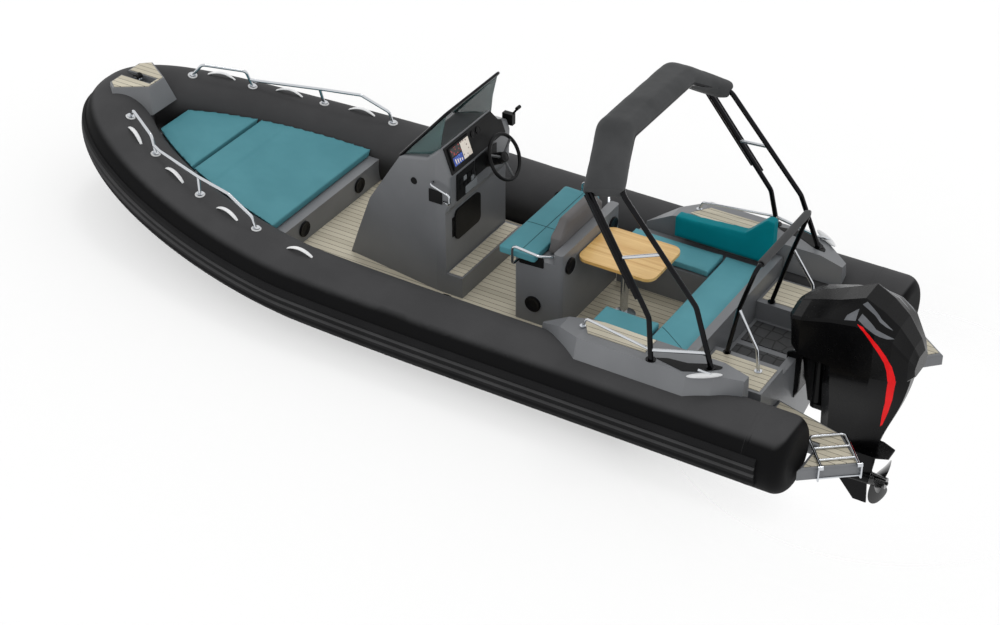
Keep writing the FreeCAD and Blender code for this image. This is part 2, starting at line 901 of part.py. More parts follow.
# Console: one moulding from the side profile, narrower forward, with a locker behind its hatch
console_rim = [
    ("console_aft_x", SOLE_TOP),
    ("console_fore_x", SOLE_TOP),
    ("console_shin_x", "console_shin_z"),
    ("console_brow_x", "console_brow_z"),
    ("console_screen_x", "console_screen_z"),
    ("console_top_x", "console_top_z"),
    ("dash_top_x", "dash_top_z"),
    ("dash_low_x", "dash_low_z"),
    ("helm_low_x", "helm_low_z"),
    ("console_aft_x", "console_waist_z"),
]
console = prism("console", "side", console_rim, "-console_half", "console_half")
for side in ("", "-"):
    wedge = [
        ("console_taper_x", f"{side}console_half"),
        ("console_fore_x", f"{side}console_fore_half"),
        ("console_fore_x + console_half", f"{side}console_fore_half"),
        ("console_fore_x + console_half", f"{side}console_half * 2"),
        ("console_taper_x", f"{side}console_half * 2"),
    ]
    pocket(console, "top", wedge, "0", "dash_top_z * 2")
pocket(console, "side", corners_of("console_aft_x - hatch_rim", "console_aft_x + locker_depth",
                                   "hatch_low_z + hatch_rim", "hatch_high_z - hatch_rim"),
       "hatch_starboard_y + hatch_rim", "hatch_port_y - hatch_rim")
HOOD_EDGE = [
    ("-hood_half", "dash_top_z"),
    ("-hood_shoulder", "hood_shoulder_z"),
    ("-console_half", "hood_ledge_z"),
    ("-console_half * 2", "hood_ledge_z"),
    ("-console_half * 2", "dash_top_z * 2"),
    ("-hood_half", "dash_top_z * 2"),
]
pocket(console, "end", HOOD_EDGE, "console_aft_x / 2", "console_fore_x")
rounded(console, "console_round", lambda edge: edge.BoundBox.ZMin > size("console_waist_z")
        and edge.BoundBox.YLength < size("console_round") * 6
        and abs(edge.CenterOfMass.y) > size("console_fore_half"))
keep(console)
keep(block("console_footrest", ("console_aft_x - footrest_depth", "console_aft_x"),
           ("-console_half", "console_half"),
           (SOLE_TOP, SOLE_TOP + " + footrest_height")))

# Locker hatch, hinged on its port edge
hatch = prism("hatch_door", "end",
              corners_of("hatch_starboard_y", "hatch_port_y", "hatch_low_z", "hatch_high_z"),
              "console_aft_x - hatch_thickness - seat_gap", "console_aft_x - seat_gap")
hatch_door = rounded(hatch, "hatch_round", runs(AHEAD))


def between(start, end, share):
    return start + (end - start) * share


def hinge_bar(radius, low_share, high_share):
    """A round bar on the hatch's hinge line, between two shares of the hatch's height."""
    low = between(size("hatch_low_z"), size("hatch_high_z"), low_share)
    high = between(size("hatch_low_z"), size("hatch_high_z"), high_share)
    x = size("console_aft_x") - size("seat_gap") - size("hatch_thickness") / 2
    y = size("hatch_port_y") + size("hinge_barrel") * 0.6
    return Part.makeCylinder(radius, high - low, Vector(x, y, low))


def hinge_shares():
    """Where the fixed knuckles and the turning barrel start and end, as shares of the height."""
    return 0.18, 0.30, 0.70, 0.82


def console_hatch():
    """The door with its hinge barrel, bored for the pin."""
    low, fixed, turning, high = hinge_shares()
    barrel = hinge_bar(size("hinge_barrel"), fixed, turning)
    bore = hinge_bar(size("hinge_pin") + size("running_gap"), 0, 1)
    relief = [hinge_bar(size("hinge_barrel") + size("hinge_gap"), low * 0.9, fixed),
              hinge_bar(size("hinge_barrel") + size("hinge_gap"), turning, 1 - low * 0.9)]
    return largest(hatch_door.Shape.cut(relief[0]).cut(relief[1]).fuse(barrel).cut(bore))


def hatch_hinge():
    """The fixed half: a leaf on the console, two knuckles and the pin between them."""
    gap = size("hinge_gap") / (size("hatch_high_z") - size("hatch_low_z"))
    low, fixed, turning, high = hinge_shares()
    pin = hinge_bar(size("hinge_pin"), low, high)
    centre = pin.BoundBox.Center
    face = size("console_aft_x") - size("seat_gap")
    lumps = [pin]
    for start, end in ((low, fixed - gap), (turning + gap, high)):
        knuckle = hinge_bar(size("hinge_barrel"), start, end)
        bounds = knuckle.BoundBox
        arm = Part.makeBox(face - centre.x, size("hinge_barrel") * 2, bounds.ZLength,
                           Vector(centre.x, centre.y, bounds.ZMin))
        lumps = lumps + [knuckle, arm]
    leaf_y = centre.y + size("hinge_barrel") + size("hinge_gap")
    thickness = size("hinge_pin") * 1.4
    lumps.append(Part.makeBox(thickness, size("hinge_leaf"), pin.BoundBox.ZLength,
                              Vector(face - thickness, leaf_y, pin.BoundBox.ZMin)))
    return lumps[0].multiFuse(lumps[1:])


keep(feature("console_hatch", console_hatch()))


def dash_frame():
    """The top of the dash's aft face, down it and out of it."""
    top = Vector(size("dash_top_x"), 0, size("dash_top_z"))
    low = Vector(size("dash_low_x"), 0, size("dash_low_z"))
    down = low - top
    outward = ATHWART.cross(down).normalize()
    if outward.x > 0:
        outward = outward * -1
    return top, down, outward


def hood_room():
    """The space over the hood's starboard shoulder, which the dash leaves free too."""
    aft = size("console_aft_x") / 2
    rim = [Vector(aft, worth(across), worth(high)) for across, high in HOOD_EDGE]
    return Part.Face(Part.makePolygon(rim + rim[:1])).extrude(AHEAD * size("console_fore_x"))


def dash_plate(high_share, low_share, port_share, starboard_share, proud, thickness):
    """A plate on the dash face, from shares of its height and of the console's half width."""
    top, down, outward = dash_frame()
    high = top + down * high_share + outward * proud
    low = top + down * low_share + outward * proud
    half = size("console_half")
    rim = [high, low, low + outward * thickness, high + outward * thickness]
    face = Part.Face(Part.makePolygon(rim + rim[:1]))
    plate = face.extrude(ATHWART * (half * (port_share - starboard_share)))
    plate.translate(ATHWART * (half * starboard_share))
    return plate.cut(hood_room())


plate = size("dash_plate")
keep(feature("dash_panel", dash_plate(0.06, 0.97, 0.93, -0.80, 0, plate)))
keep(feature("navigation_display", dash_plate(0.14, 0.88, 0.86, 0.22, plate, plate)))


def helm_plate():
    """The switch panel on the upright face under the dash."""
    low = size("helm_low_z")
    high = size("dash_low_z")
    half = size("console_half")
    face_x = min(size("helm_low_x"), size("dash_low_x"))
    return Part.makeBox(plate, half * 0.56, (high - low) * 0.86,
                        Vector(face_x - plate, half * 0.24, low + (high - low) * 0.07))


keep(feature("switch_panel", helm_plate()))

# Windscreen: a raked pane and two side panes inside a bent rail

def screen_spots(inset):
    foot = Vector(size("console_screen_x"), size("screen_foot_half") - inset, size("console_screen_z"))
    top = Vector(size("screen_top_x"), size("screen_half") - inset, size("screen_top_z"))
    rise = (top - foot).normalize()
    return foot, top - rise * inset


def windscreen():
    clear = size("rail_radius") + size("seat_gap")
    foot, top = screen_spots(clear)
    rise = (top - foot).normalize()
    foot = foot + rise * (size("glass_thickness") + size("console_round") / 4)
    rim = [foot, top, Vector(top.x, -top.y, top.z), Vector(foot.x, -foot.y, foot.z)]
    normal = (top - foot).cross(ATHWART).normalize()
    pane = Part.Face(Part.makePolygon(rim + rim[:1])).extrude(normal * size("glass_thickness"))
    pane.translate(normal * (-size("glass_thickness") / 2))
    wing = screen_wing(foot, top)
    screen = pane.multiFuse([wing, mirror_shape(wing)])
    return largest(screen.cut(windscreen_rail()).cut(console.Shape).cut(kept("dash_panel").Shape))


def screen_wing(foot, top):
    """The side pane between the raked edge and a nearly upright aft edge."""
    drop = top.z - foot.z
    y = foot.y - size("glass_thickness") / 2
    rim = [Vector(foot.x, y, foot.z), Vector(top.x, y, top.z),
           Vector(top.x + drop * 0.10, y, top.z - drop * 0.45),
           Vector(top.x + drop * 0.16, y, foot.z)]
    return Part.Face(Part.makePolygon(rim + rim[:1])).extrude(ATHWART * (size("glass_thickness") / 2))


def windscreen_rail():
    foot, top = screen_spots(0)
    start = foot + (foot - top).normalize() * size("rail_radius")
    path = [start, top, Vector(top.x, -top.y, top.z), Vector(start.x, -start.y, start.z)]
    rail = bent_tube(path, size("rail_bend"), size("rail_radius"))
    return rail.cut(console.Shape)


keep(feature("windscreen", windscreen()))
keep(feature("windscreen_rail", windscreen_rail()))

# Steering wheel on its raked column

def wheel_axis():
    rake = math.radians(size("wheel_rake"))
    centre = Vector(size("wheel_x"), size("wheel_y"), size("wheel_z"))
    return centre, Vector(-math.cos(rake), 0, math.sin(rake))


def steering_wheel():
    centre, axis = wheel_axis()
    depth = size("wheel_hub_length")
    rim = Part.makeTorus(size("wheel_radius"), size("wheel_rim"), centre, axis)
    hub = Part.makeCylinder(size("wheel_hub_radius"), depth, centre - axis * depth, axis)
    bore = Part.makeCylinder(size("column_shaft") + size("running_gap"), depth * 0.75, centre - axis * depth, axis)
    lumps = [hub]
    for turn in (90, 210, 330):
        direction = Rotation(axis, turn).multVec(ATHWART)
        start = centre - axis * (depth / 2)
        end = centre + direction * size("wheel_radius")
        run = end - start
        lumps.append(Part.makeCylinder(size("wheel_rim") * 0.7, run.Length, start, run))
    return rim.multiFuse(lumps).cut(bore)


def helm_column():
    """The raked boss between the console and the wheel, with the wheel's shaft."""
    centre, axis = wheel_axis()
    end = centre - axis * (size("wheel_hub_length") + size("column_gap"))
    length = (size("console_aft_x") - size("wheel_x")) * 1.3
    boss = Part.makeCylinder(size("column_radius"), length, end - axis * length, axis)
    shaft = Part.makeCylinder(size("column_shaft"), size("wheel_hub_length") * 0.7, end, axis)
    return largest(boss.fuse(shaft).cut(console.Shape).cut(kept("dash_panel").Shape))


keep(feature("steering_wheel", steering_wheel()))
keep(feature("helm_column", helm_column()))


def throttle_control():
    """A lever box on the console's starboard side."""
    box = Part.makeBox(size("column_radius") * 2, size("column_radius"), size("column_radius") * 2,
                       Vector(size("throttle_x"), size("throttle_y") - size("column_radius") * 0.6,
                              size("throttle_z")))
    pivot = box.BoundBox.Center
    tip = pivot + Vector(-size("wheel_radius") * 0.45, 0, size("wheel_radius") * 0.62)
    side = Vector(0, -size("column_radius") * 0.5 + size("wheel_rim") * 0.5, 0)
    lever = bent_tube([pivot + side, tip + side], size("wheel_rim"), size("wheel_rim") * 0.6)
    grip = Part.makeCylinder(size("wheel_rim"), size("column_radius"), tip + side - ATHWART * size("wheel_rim"),
                             ATHWART)
    return box.multiFuse([lever, grip]).cut(console.Shape)


keep(feature("throttle_control", throttle_control()))


def console_fittings():
    """A socket and a pocket on the port side, with the grab rail over the pocket."""
    side = size("console_half")
    depth = size("dash_plate")
    socket_x = size("console_aft_x") + side * 0.66
    slope = (side - size("console_fore_half")) / (size("console_fore_x") - size("console_taper_x"))
    wall = side - slope * (socket_x - size("console_taper_x"))
    socket = Part.makeCylinder(size("foot_radius"), depth * 3,
                               Vector(socket_x, wall - depth * 2.5, size("helm_low_z") + side * 0.28), ATHWART)
    pocket_x = size("console_aft_x") + size("console_round")
    opening = Part.makeBox(side * 0.26, depth, side * 0.24,
                           Vector(pocket_x, side, size("helm_low_z") + side * 0.03))
    high = size("helm_low_z") + side * 0.42
    rail = bent_tube([Vector(pocket_x + side * 0.18, side - depth, high),
                      Vector(pocket_x + side * 0.18, side + depth * 5, high),
                      Vector(pocket_x - side * 0.20, side + depth * 5, high - side * 0.12),
                      Vector(pocket_x - side * 0.20, side + depth * 5, high - side * 0.30),
                      Vector(pocket_x + side * 0.02, side - depth, high - side * 0.34)],
                     size("rail_bend") / 2, size("rail_radius") * 0.7)
    lumps = [lump.cut(console.Shape) for lump in (socket, opening, rail)]
    return Part.makeCompound([largest(lump) for lump in lumps + [hatch_hinge()]])


keep(feature("console_fittings", console_fittings()))

# Helm seat: a moulded box with an aft ledge, its cushion, backrest and side rails
helm_rim = [
    ("helm_aft_x", "deck_height + sole_thickness"),
    ("helm_fore_x", "deck_height + sole_thickness"),
    ("helm_fore_x", "helm_top"),
    ("helm_ledge_x", "helm_top"),
    ("helm_ledge_x", "helm_ledge_z"),
    ("helm_aft_x", "helm_ledge_z"),
]
helm = prism("helm_seat_base", "side", helm_rim, "-helm_half", "helm_half")
keep(rounded(helm, "console_round", runs(UP)))
cushion = block("helm_cushion", ("helm_cushion_aft_x", "helm_cushion_fore_x"),
                ("-helm_cushion_half", "helm_cushion_half"),
                ("helm_top + seat_gap", "helm_top + helm_cushion_thickness"))
keep(rounded(cushion, "console_round", runs(UP)))


def helm_backrest():
    """Wide at the seat, narrower at the top, leaning back."""
    low = size("helm_top") + size("seat_gap")
    high = size("helm_back_top")
    aft = size("helm_back_aft_x")
    fore = size("helm_back_fore_x")
    wide = size("helm_back_half")
    narrow = size("helm_back_top_half")
    rings = []
    for height, half, thick in ((low, wide, 1), (between(low, high, 0.5), wide, 0.92), (high, narrow, 0.7)):
        near = aft + (fore - aft) * thick
        ring = [Vector(aft, -half, height), Vector(near, -half, height),
                Vector(near, half, height), Vector(aft, half, height)]
        rings.append(Part.makePolygon(ring + ring[:1]))
    solid = Part.makeLoft(rings, True, True)
    return solid.makeFillet(size("console_round"), [edge for edge in solid.Edges
                                                    if edge.BoundBox.ZMin > between(low, high, 0.9)])


keep(feature("helm_backrest", helm_backrest()))


def helm_rail():
    """A bent rail at the cushion's end, with both feet on the seat box."""
    side = size("helm_half") - size("rail_radius") * 2
    top = size("helm_top") + size("helm_cushion_thickness") * 1.9
    aft = size("helm_ledge_x")
    fore = size("helm_fore_x")
    high = size("helm_cushion_half") + size("rail_radius") * 1.5
    return bent_tube([Vector(aft, side, between(size("helm_top"), size("helm_ledge_z"), 0.6)),
                      Vector(aft + (fore - aft) * 0.2, high, top - size("rail_bend") / 2),
                      Vector(between(aft, fore, 0.9), high, top),
                      Vector(between(aft, fore, 0.9), high, size("helm_top") - size("rail_bend")),
                      Vector(between(aft, fore, 0.9), size("helm_half"), size("helm_top") - size("rail_bend"))],
                     size("rail_bend") * 0.7, size("rail_radius") * 0.8)


keep(feature("helm_rails", both_sides([largest(helm_rail().cut(helm.Shape))])))

# Table on its pedestal
table = block("table_top", ("table_aft_x", "table_fore_x"), ("-table_half", "table_half"),
              ("table_top - table_thickness", "table_top"))
keep(rounded(table, "table_round", runs(UP)))


def pedestal():
    floor = size("deck_height") + size("sole_thickness")
    under = size("table_top") - size("table_thickness")
    post = Part.makeCylinder(size("pedestal_radius"), under - floor, Vector(size("pedestal_x"), 0, floor))
    flange = size("pedestal_flange")
    thick = size("pedestal_plate")
    foot = Part.makeCylinder(flange, thick, Vector(size("pedestal_x"), 0, floor))
    head = Part.makeCylinder(flange, thick, Vector(size("pedestal_x"), 0, under - thick))
    return post.multiFuse([foot, head]).removeSplitter()


keep(feature("table_pedestal", pedestal()))

# Stern seats: a U-shaped bench with a low back, wedged between the tubes
bench_rim = [
    ("bench_aft_x", "-bench_half"),
    ("bench_starboard_x", "-bench_half"),
    ("bench_starboard_x", "-bench_inner_half"),
    ("bench_inner_x", "-bench_inner_half"),
    ("bench_inner_x", "bench_inner_half"),
    ("bench_port_x", "bench_inner_half"),
    ("bench_port_x", "bench_half"),
    ("bench_aft_x", "bench_half"),
]
bench = prism("bench_blank", "top", bench_rim, "deck_height + sole_thickness", "bench_back_top")
seat_space = [
    ("bench_aft_x + bench_back_depth", "-bench_half * 2"),
    ("bench_starboard_x * 2", "-bench_half * 2"),
    ("bench_starboard_x * 2", "bench_half * 2"),
    ("bench_aft_x + bench_back_depth", "bench_half * 2"),
]
pocket(bench, "top", seat_space, "bench_top", "bench_back_top * 2")
keep(difference("stern_seat_base", bench, room))
cushion_low = "bench_top + seat_gap"
cushion_high = "bench_top + bench_cushion_thickness"
aft_edge = "bench_aft_x + bench_back_depth + seat_gap"
seat_parts = [
    block("seat_cushion_aft", (aft_edge, "bench_inner_x"), ("-bench_cushion_half", "bench_cushion_half"),
          (cushion_low, cushion_high)),
    block("seat_cushion_port", ("bench_inner_x + seat_gap * 2", "bench_port_x"),
          ("bench_inner_half", "bench_cushion_half"), (cushion_low, cushion_high)),
    block("seat_cushion_starboard", ("bench_inner_x + seat_gap * 2", "bench_starboard_x"),
          ("-bench_cushion_half", "-bench_inner_half"), (cushion_low, cushion_high)),
]
keep(gathered("stern_cushions", seat_parts))
backrest_rim = [
    (aft_edge, cushion_high),
    ("backrest_fore_x", cushion_high),
    ("backrest_fore_x", "backrest_fore_top"),
    ("backrest_mid_x", "backrest_mid_top"),
    ("backrest_aft_x + bench_back_depth", "backrest_aft_top"),
    ("backrest_aft_x", "backrest_aft_top"),
    ("backrest_aft_x", "bench_back_top + seat_gap"),
    (aft_edge, "bench_back_top + seat_gap"),
]
backrest = prism("seat_backrest", "side", backrest_rim, "-backrest_outer", "-backrest_inner")
keep(rounded(backrest, "console_round", lambda edge: edge.BoundBox.YLength > size("seat_gap")
             and edge.BoundBox.ZMin > size("backrest_fore_top") - size("seat_gap")))

# Side coamings over the tubes: forward, with inner foot, inner top, outer top and outer foot
COAMING_SHARES = (
    (0.036, 1.00, 0.93, 1.10, 1.15),
    (0.145, 1.00, 1.00, 1.24, 1.35),
    (0.247, 1.00, 1.00, 1.35, 1.44),
    (0.753, 1.00, 1.00, 1.35, 1.44),
    (0.874, 1.00, 0.93, 1.20, 1.28),
    (1.000, 1.00, 0.76, 1.03, 1.06),
)


def coaming():
    inner = size("coaming_inner")
    foot = size("coaming_foot")
    rings = []
    for ahead, low_inner, top, outer_top, outer_low in COAMING_SHARES:
        x = size("coaming_fore_x") * ahead
        high = size("coaming_top") * top
        ring = [Vector(x, inner * low_inner, foot), Vector(x, inner * (low_inner + 0.015), high),
                Vector(x, inner * outer_top, high), Vector(x, inner * outer_low, size("stern_deck_height"))]
        rings.append(Part.makePolygon(ring + ring[:1]))
    solid = Part.makeLoft(rings, True, True).cut(room.Shape)
    return largest(solid)


coaming_port = coaming()
keep(feature("coamings", both_sides([coaming_port])))


def coaming_spot(ahead, outboard):
    """A place on the flat top of the port coaming."""
    return Vector(size("coaming_fore_x") * ahead, size("coaming_inner") * outboard, size("coaming_top"))


def coaming_tread():
    rim = [coaming_spot(0.46, 1.03), coaming_spot(0.70, 1.02), coaming_spot(0.79, 1.06),
           coaming_spot(0.73, 1.24), coaming_spot(0.46, 1.24)]
    return Part.Face(Part.makePolygon(rim + rim[:1])).extrude(UP * size("tread_thickness"))


def deck_tread():
    """The walkway on the side deck between the stern seat and the transom."""
    margin = size("tread_margin")
    return Part.makeBox(size("stern_deck_fore") - margin * 2, size("transom_half") - size("well_half") - margin * 3,
                        size("tread_thickness"),
                        Vector(margin, size("well_half") + margin * 2, size("stern_deck_height")))


def platform_tread():
    """A pad that follows the platform's edge, set in from it."""
    high = size("platform_high")
    rim = [Vector(0, size("platform_inner"), high),
           Vector(size("platform_knee_x"), size("platform_knee_y"), high),
           Vector(size("platform_tip_x"), size("platform_tip_y"), high),
           Vector(size("platform_outer_x"), size("platform_outer_y"), high),
           Vector(size("platform_outer_x"), size("platform_side_y"), high),
           Vector(0, size("platform_side_y"), high)]
    wire = Part.makePolygon(rim + rim[:1]).makeOffset2D(-size("tread_margin"))
    return Part.Face(wire).extrude(UP * size("tread_thickness"))


def step_tread():
    high = size("step_high")
    wire = step_ring(high, 0).makeOffset2D(-size("tread_margin") / 2)
    pad = Part.Face(wire).extrude(UP * size("tread_thickness"))
    margin = size("tread_margin") / 2
    notch = notch_box(high - margin, high + size("tube_radius"))
    wide = Part.makeBox(size("step_fore_x"), (size("notch_half") + margin) * 2, size("tube_radius"),
                        Vector(size("notch_aft_x") - margin, -size("notch_half") - margin, high))
    return pad.cut(wide).cut(notch)


def footrest_tread():
    margin = size("tread_margin")
    floor = size("deck_height") + size("sole_thickness") + size("footrest_height")
    return Part.makeBox(size("footrest_depth") - margin, (size("console_half") - margin) * 2,
                        size("tread_thickness"),
                        Vector(size("console_aft_x") - size("footrest_depth") + margin / 2,
                               -size("console_half") + margin, floor))


paired = [coaming_tread(), deck_tread(), platform_tread()]
treads = both_sides(paired).Solids + [step_tread(), footrest_tread()]
keep(feature("teak_treads", Part.makeCompound(treads)))


def deck_cleat():
    """A long oval mooring cleat with two feet, near the roll bar."""
    place = coaming_spot(0.181, 1.27)
    long = size("foot_radius") * 3.4
    bar = Part.makeCylinder(size("foot_radius") * 0.34, long,
                            place + Vector(-long / 2, 0, size("foot_height") * 1.6), AHEAD)
    feet = [Part.makeCylinder(size("foot_radius") * 0.34, size("foot_height") * 1.6,
                              place + Vector(shift * long, 0, 0)) for shift in (-0.22, 0.22)]
    return bar.multiFuse(feet)


keep(feature("deck_cleats", both_sides([deck_cleat()])))

# Arch of two parallel bars that lean forward over the seats, with rungs between them.
# Places are forward, outboard and up as shares of the half gauge of the tubes
BAR_FORE_SHARES = (
    (0.7000, 1.020, 0.6920),
    (0.7510, 0.975, 1.0000),
    (1.3150, 0.868, 1.8100),
    (1.4300, 0.455, 2.0450),
)
BAR_AFT_SHARES = (
    (0.3030, 0.890, 0.6920),
    (0.4600, 0.850, 1.1150),
    (1.0750, 0.830, 1.8250),
    (1.2000, 0.440, 2.0300),
)


def arch_points(table):
    gauge = size("tube_half_gauge")
    port = [Vector(ahead * gauge, outboard * gauge, upward * gauge) for ahead, outboard, upward in table]
    return port + [Vector(point.x, -point.y, point.z) for point in reversed(port)]


def arch_bars(radius):
    tables = (BAR_FORE_SHARES, BAR_AFT_SHARES)
    return [bent_tube(arch_points(table), size("bar_bend"), radius) for table in tables]


def arch():
    lumps = arch_bars(size("bar_radius"))
    fore = arch_points(BAR_FORE_SHARES)
    aft = arch_points(BAR_AFT_SHARES)
    rungs = []
    for leg, share in ((0, 0.24), (1, 0.46)):
        start = between(fore[leg], fore[leg + 1], share)
        end = between(aft[leg], aft[leg + 1], share)
        rungs.append(Part.makeCylinder(size("rail_radius"), (end - start).Length, start, end - start))
    lumps = lumps + rungs + [mirror_shape(rung) for rung in rungs]
    solid = lumps[0].multiFuse(lumps[1:])
    feet = []
    for point in (fore[0], aft[0], fore[-1], aft[-1]):
        place = Vector(point.x, point.y, size("coaming_top"))
        feet.append(Part.makeCylinder(size("foot_radius") * 1.3, size("foot_height") / 2, place))
    solid = solid.multiFuse(feet)
    under = Part.makeBox(size("bow_reach"), size("bow_reach"), size("coaming_top"),
                         Vector(-size("bow_reach") / 2, -size("bow_reach") / 2, 0))
    return solid.cut(under)


keep(feature("roll_bar", arch()))


def coaming_rail():
    """The low hand rail along the coaming, from its own foot to the arch's forward leg."""
    leg = arch_points(BAR_FORE_SHARES)
    end = between(leg[0], leg[1], 0.24)
    foot = coaming_spot(0.772, 1.165)
    knee = Vector(foot.x - size("rail_bend") * 0.6, foot.y, end.z)
    rail = bent_tube([foot, knee, end], size("rail_bend") * 0.5, size("rail_radius") * 0.8)
    pad = Part.makeCylinder(size("foot_radius") * 0.8, size("foot_height") / 2, foot)
    under = Part.makeBox(size("bow_reach"), size("bow_reach"), size("coaming_top"),
                         Vector(-size("bow_reach") / 2, -size("bow_reach") / 2, 0))
    return largest(rail.fuse(pad).cut(under).cut(kept("roll_bar").Shape))


keep(feature("coaming_rails", both_sides([coaming_rail()])))

# Folded awning in its boot along the top of the arch
BOOT_SHARES = (
    (1.1850, 0.872, 1.7900),
    (1.3180, 0.470, 2.0580),
)


def boot_section(place, along, width, height):
    """A rounded oblong square to the run, its width lying fore and aft."""
    lift = along.cross(AHEAD).normalize()
    spread = lift.cross(along)
    corner = height * 0.42
    flat = width / 2 - corner
    stand = height / 2 - corner
    slant = corner * math.sqrt(0.5)

    def spot(across, upward):
        return place + spread * across + lift * upward

    edges = []
    for side, turn in ((1, 1), (1, -1), (-1, -1), (-1, 1)):
        hub = (side * flat, turn * stand)
        ends = [spot(hub[0] + side * corner, hub[1]), spot(hub[0], hub[1] + turn * corner)]
        middle = spot(hub[0] + side * slant, hub[1] + turn * slant)
        edges.append(Part.Arc(ends[0], middle, ends[1]).toShape())
    for turn in (1, -1):
        edges.append(Part.makeLine(spot(-flat, turn * (stand + corner)), spot(flat, turn * (stand + corner))))
        edges.append(Part.makeLine(spot(turn * (flat + corner), -stand), spot(turn * (flat + corner), stand)))
    return Part.Wire(Part.__sortEdges__(edges))


def boot():
    gauge = size("tube_half_gauge")
    port = [Vector(ahead * gauge, outboard * gauge, upward * gauge) for ahead, outboard, upward in BOOT_SHARES]
    chain = port + [Vector(point.x, -point.y, point.z) for point in reversed(port)]
    path = bent_path(chain, size("bar_bend"))
    section = boot_section(chain[0], (chain[1] - chain[0]).normalize(), size("awning_width"),
                           size("awning_height"))
    solid = path.makePipeShell([section], True, False)
    for bar in arch_bars(size("bar_radius") + size("awning_gap")):
        solid = solid.cut(bar)
    return largest(solid)


keep(feature("awning_boot", boot()))


def awning_strut():
    """Two folded hoops of the awning's frame, clamped side by side along the forward leg."""
    fore = arch_points(BAR_FORE_SHARES)
    offset = size("bar_radius") + size("strut_radius") + size("seat_gap")
    leg = (fore[2] - fore[1]).normalize()
    outward = Vector(0, 1, 0) - leg * leg.y
    outward = outward.normalize()
    side = leg.cross(outward)
    lumps = []
    for shift, low, high in ((0, 0.16, 0.97), (1, 0.24, 0.97)):
        lean = outward if shift == 0 else (outward * 0.35 - side * 0.94).normalize()
        start = between(fore[1], fore[2], low) + lean * offset
        end = between(fore[1], fore[2], high) + lean * offset
        lumps.append(Part.makeCylinder(size("strut_radius"), (end - start).Length, start, end - start))
    return lumps


struts = [strut.cut(PARTS[-1].Shape) for strut in awning_strut()]
keep(feature("awning_struts", both_sides([largest(strut) for strut in struts])))

# Stern hoop over the engine well, with a brace each side and a sleeve on its top bar

def hoop_path():
    foot = Vector(size("hoop_foot_x"), size("hoop_foot_y"), size("stern_deck_height") + size("tread_thickness"))
    joint = Vector(size("hoop_joint_x"), size("hoop_joint_y"), size("hoop_joint_z"))
    top = Vector(size("hoop_top_x"), size("hoop_joint_y"), size("hoop_top_z"))
    port = [foot, joint, top]
    return port + [Vector(point.x, -point.y, point.z) for point in reversed(port)]


def stern_hoop():
    hoop = bent_tube(hoop_path(), size("hoop_bend"), size("hoop_radius"))
    joint = hoop_path()[1]
    knee = Vector(size("brace_knee_x"), size("brace_y"), size("brace_knee_z"))
    foot = Vector(size("brace_x"), size("brace_y"), size("stern_deck_height") + size("tread_thickness"))
    brace = bent_tube([joint, knee, foot], size("hoop_bend"), size("rail_radius"))
    pads = []
    for place in (foot, hoop_path()[0]):
        pads.append(Part.makeCylinder(size("foot_radius"), size("foot_height") / 2, place))
    lumps = [brace, mirror_shape(brace)] + pads + [mirror_shape(pad) for pad in pads]
    return hoop.multiFuse(lumps).cut(kept("teak_treads").Shape)


def hoop_sleeve():
    top = hoop_path()[2]
    half = top.y - size("hoop_bend")
    end = Vector(top.x, -half, top.z)
    sleeve = Part.makeCylinder(size("hoop_radius") + size("pad_thickness"), half * 2, end, ATHWART)
    bore = Part.makeCylinder(size("hoop_radius") + size("seat_gap"), half * 2, end, ATHWART)
    return sleeve.cut(bore)


keep(feature("stern_hoop", stern_hoop()))
keep(feature("hoop_sleeve", hoop_sleeve()))

# Boarding ladder, folded on the port platform; it swings out over the slanted edge

def ladder_frame():
    """The slanted edge's middle, along it towards the tip and square out of it."""
    tip = Vector(size("platform_tip_x"), size("platform_tip_y"), size("platform_high"))
    outer = Vector(size("platform_outer_x"), size("platform_outer_y"), size("platform_high"))
    along = (tip - outer).normalize()
    outward = along.cross(UP).normalize()
    if outward.x > 0:
        outward = outward * -1
    return between(outer, tip, LADDER_PLACE_SHARE), along, outward


LADDER_HALF_SHARE = 1.182
LADDER_LENGTH_SHARE = 3.145
LADDER_PLACE_SHARE = 0.6556
LADDER_RUNG_SHARE = 0.8
LADDER_EYE_SHARE = 1.5
LADDER_EYE_HALF_SHARE = 1.15
LADDER_ROD_SHARE = 0.5


def ladder_axis():
    centre, along, outward = ladder_frame()
    out = size("ladder_tube") * 2
    lift = size("ladder_tube") + size("tread_thickness") + size("seat_gap")
    return centre + outward * out + UP * lift, along, outward


def ladder():
    axis, along, outward = ladder_axis()
    half = size("platform_low") * LADDER_HALF_SHARE
    length = size("platform_low") * LADDER_LENGTH_SHARE
    inward = outward * -1
    frame = bent_tube([axis - along * half, axis - along * half + inward * length,
                       axis + along * half + inward * length, axis + along * half],
                      size("ladder_bend"), size("ladder_tube"))
    lumps = []
    for share in (0.25, 0.62):
        start = axis - along * half + inward * length * share
        lumps.append(Part.makeCylinder(size("ladder_tube") * LADDER_RUNG_SHARE, half * 2, start, along))
    for side in (-1, 1):
        width = size("ladder_tube") * LADDER_EYE_HALF_SHARE
        start = axis + along * side * half - along * width
        lumps.append(Part.makeCylinder(size("ladder_tube") * LADDER_EYE_SHARE, width * 2, start, along))
    solid = frame.multiFuse(lumps)
    bore = Part.makeCylinder(size("roller_pin_radius") + size("running_gap"), half * 4,
                             axis - along * half * 2, along)
    return solid.cut(bore)


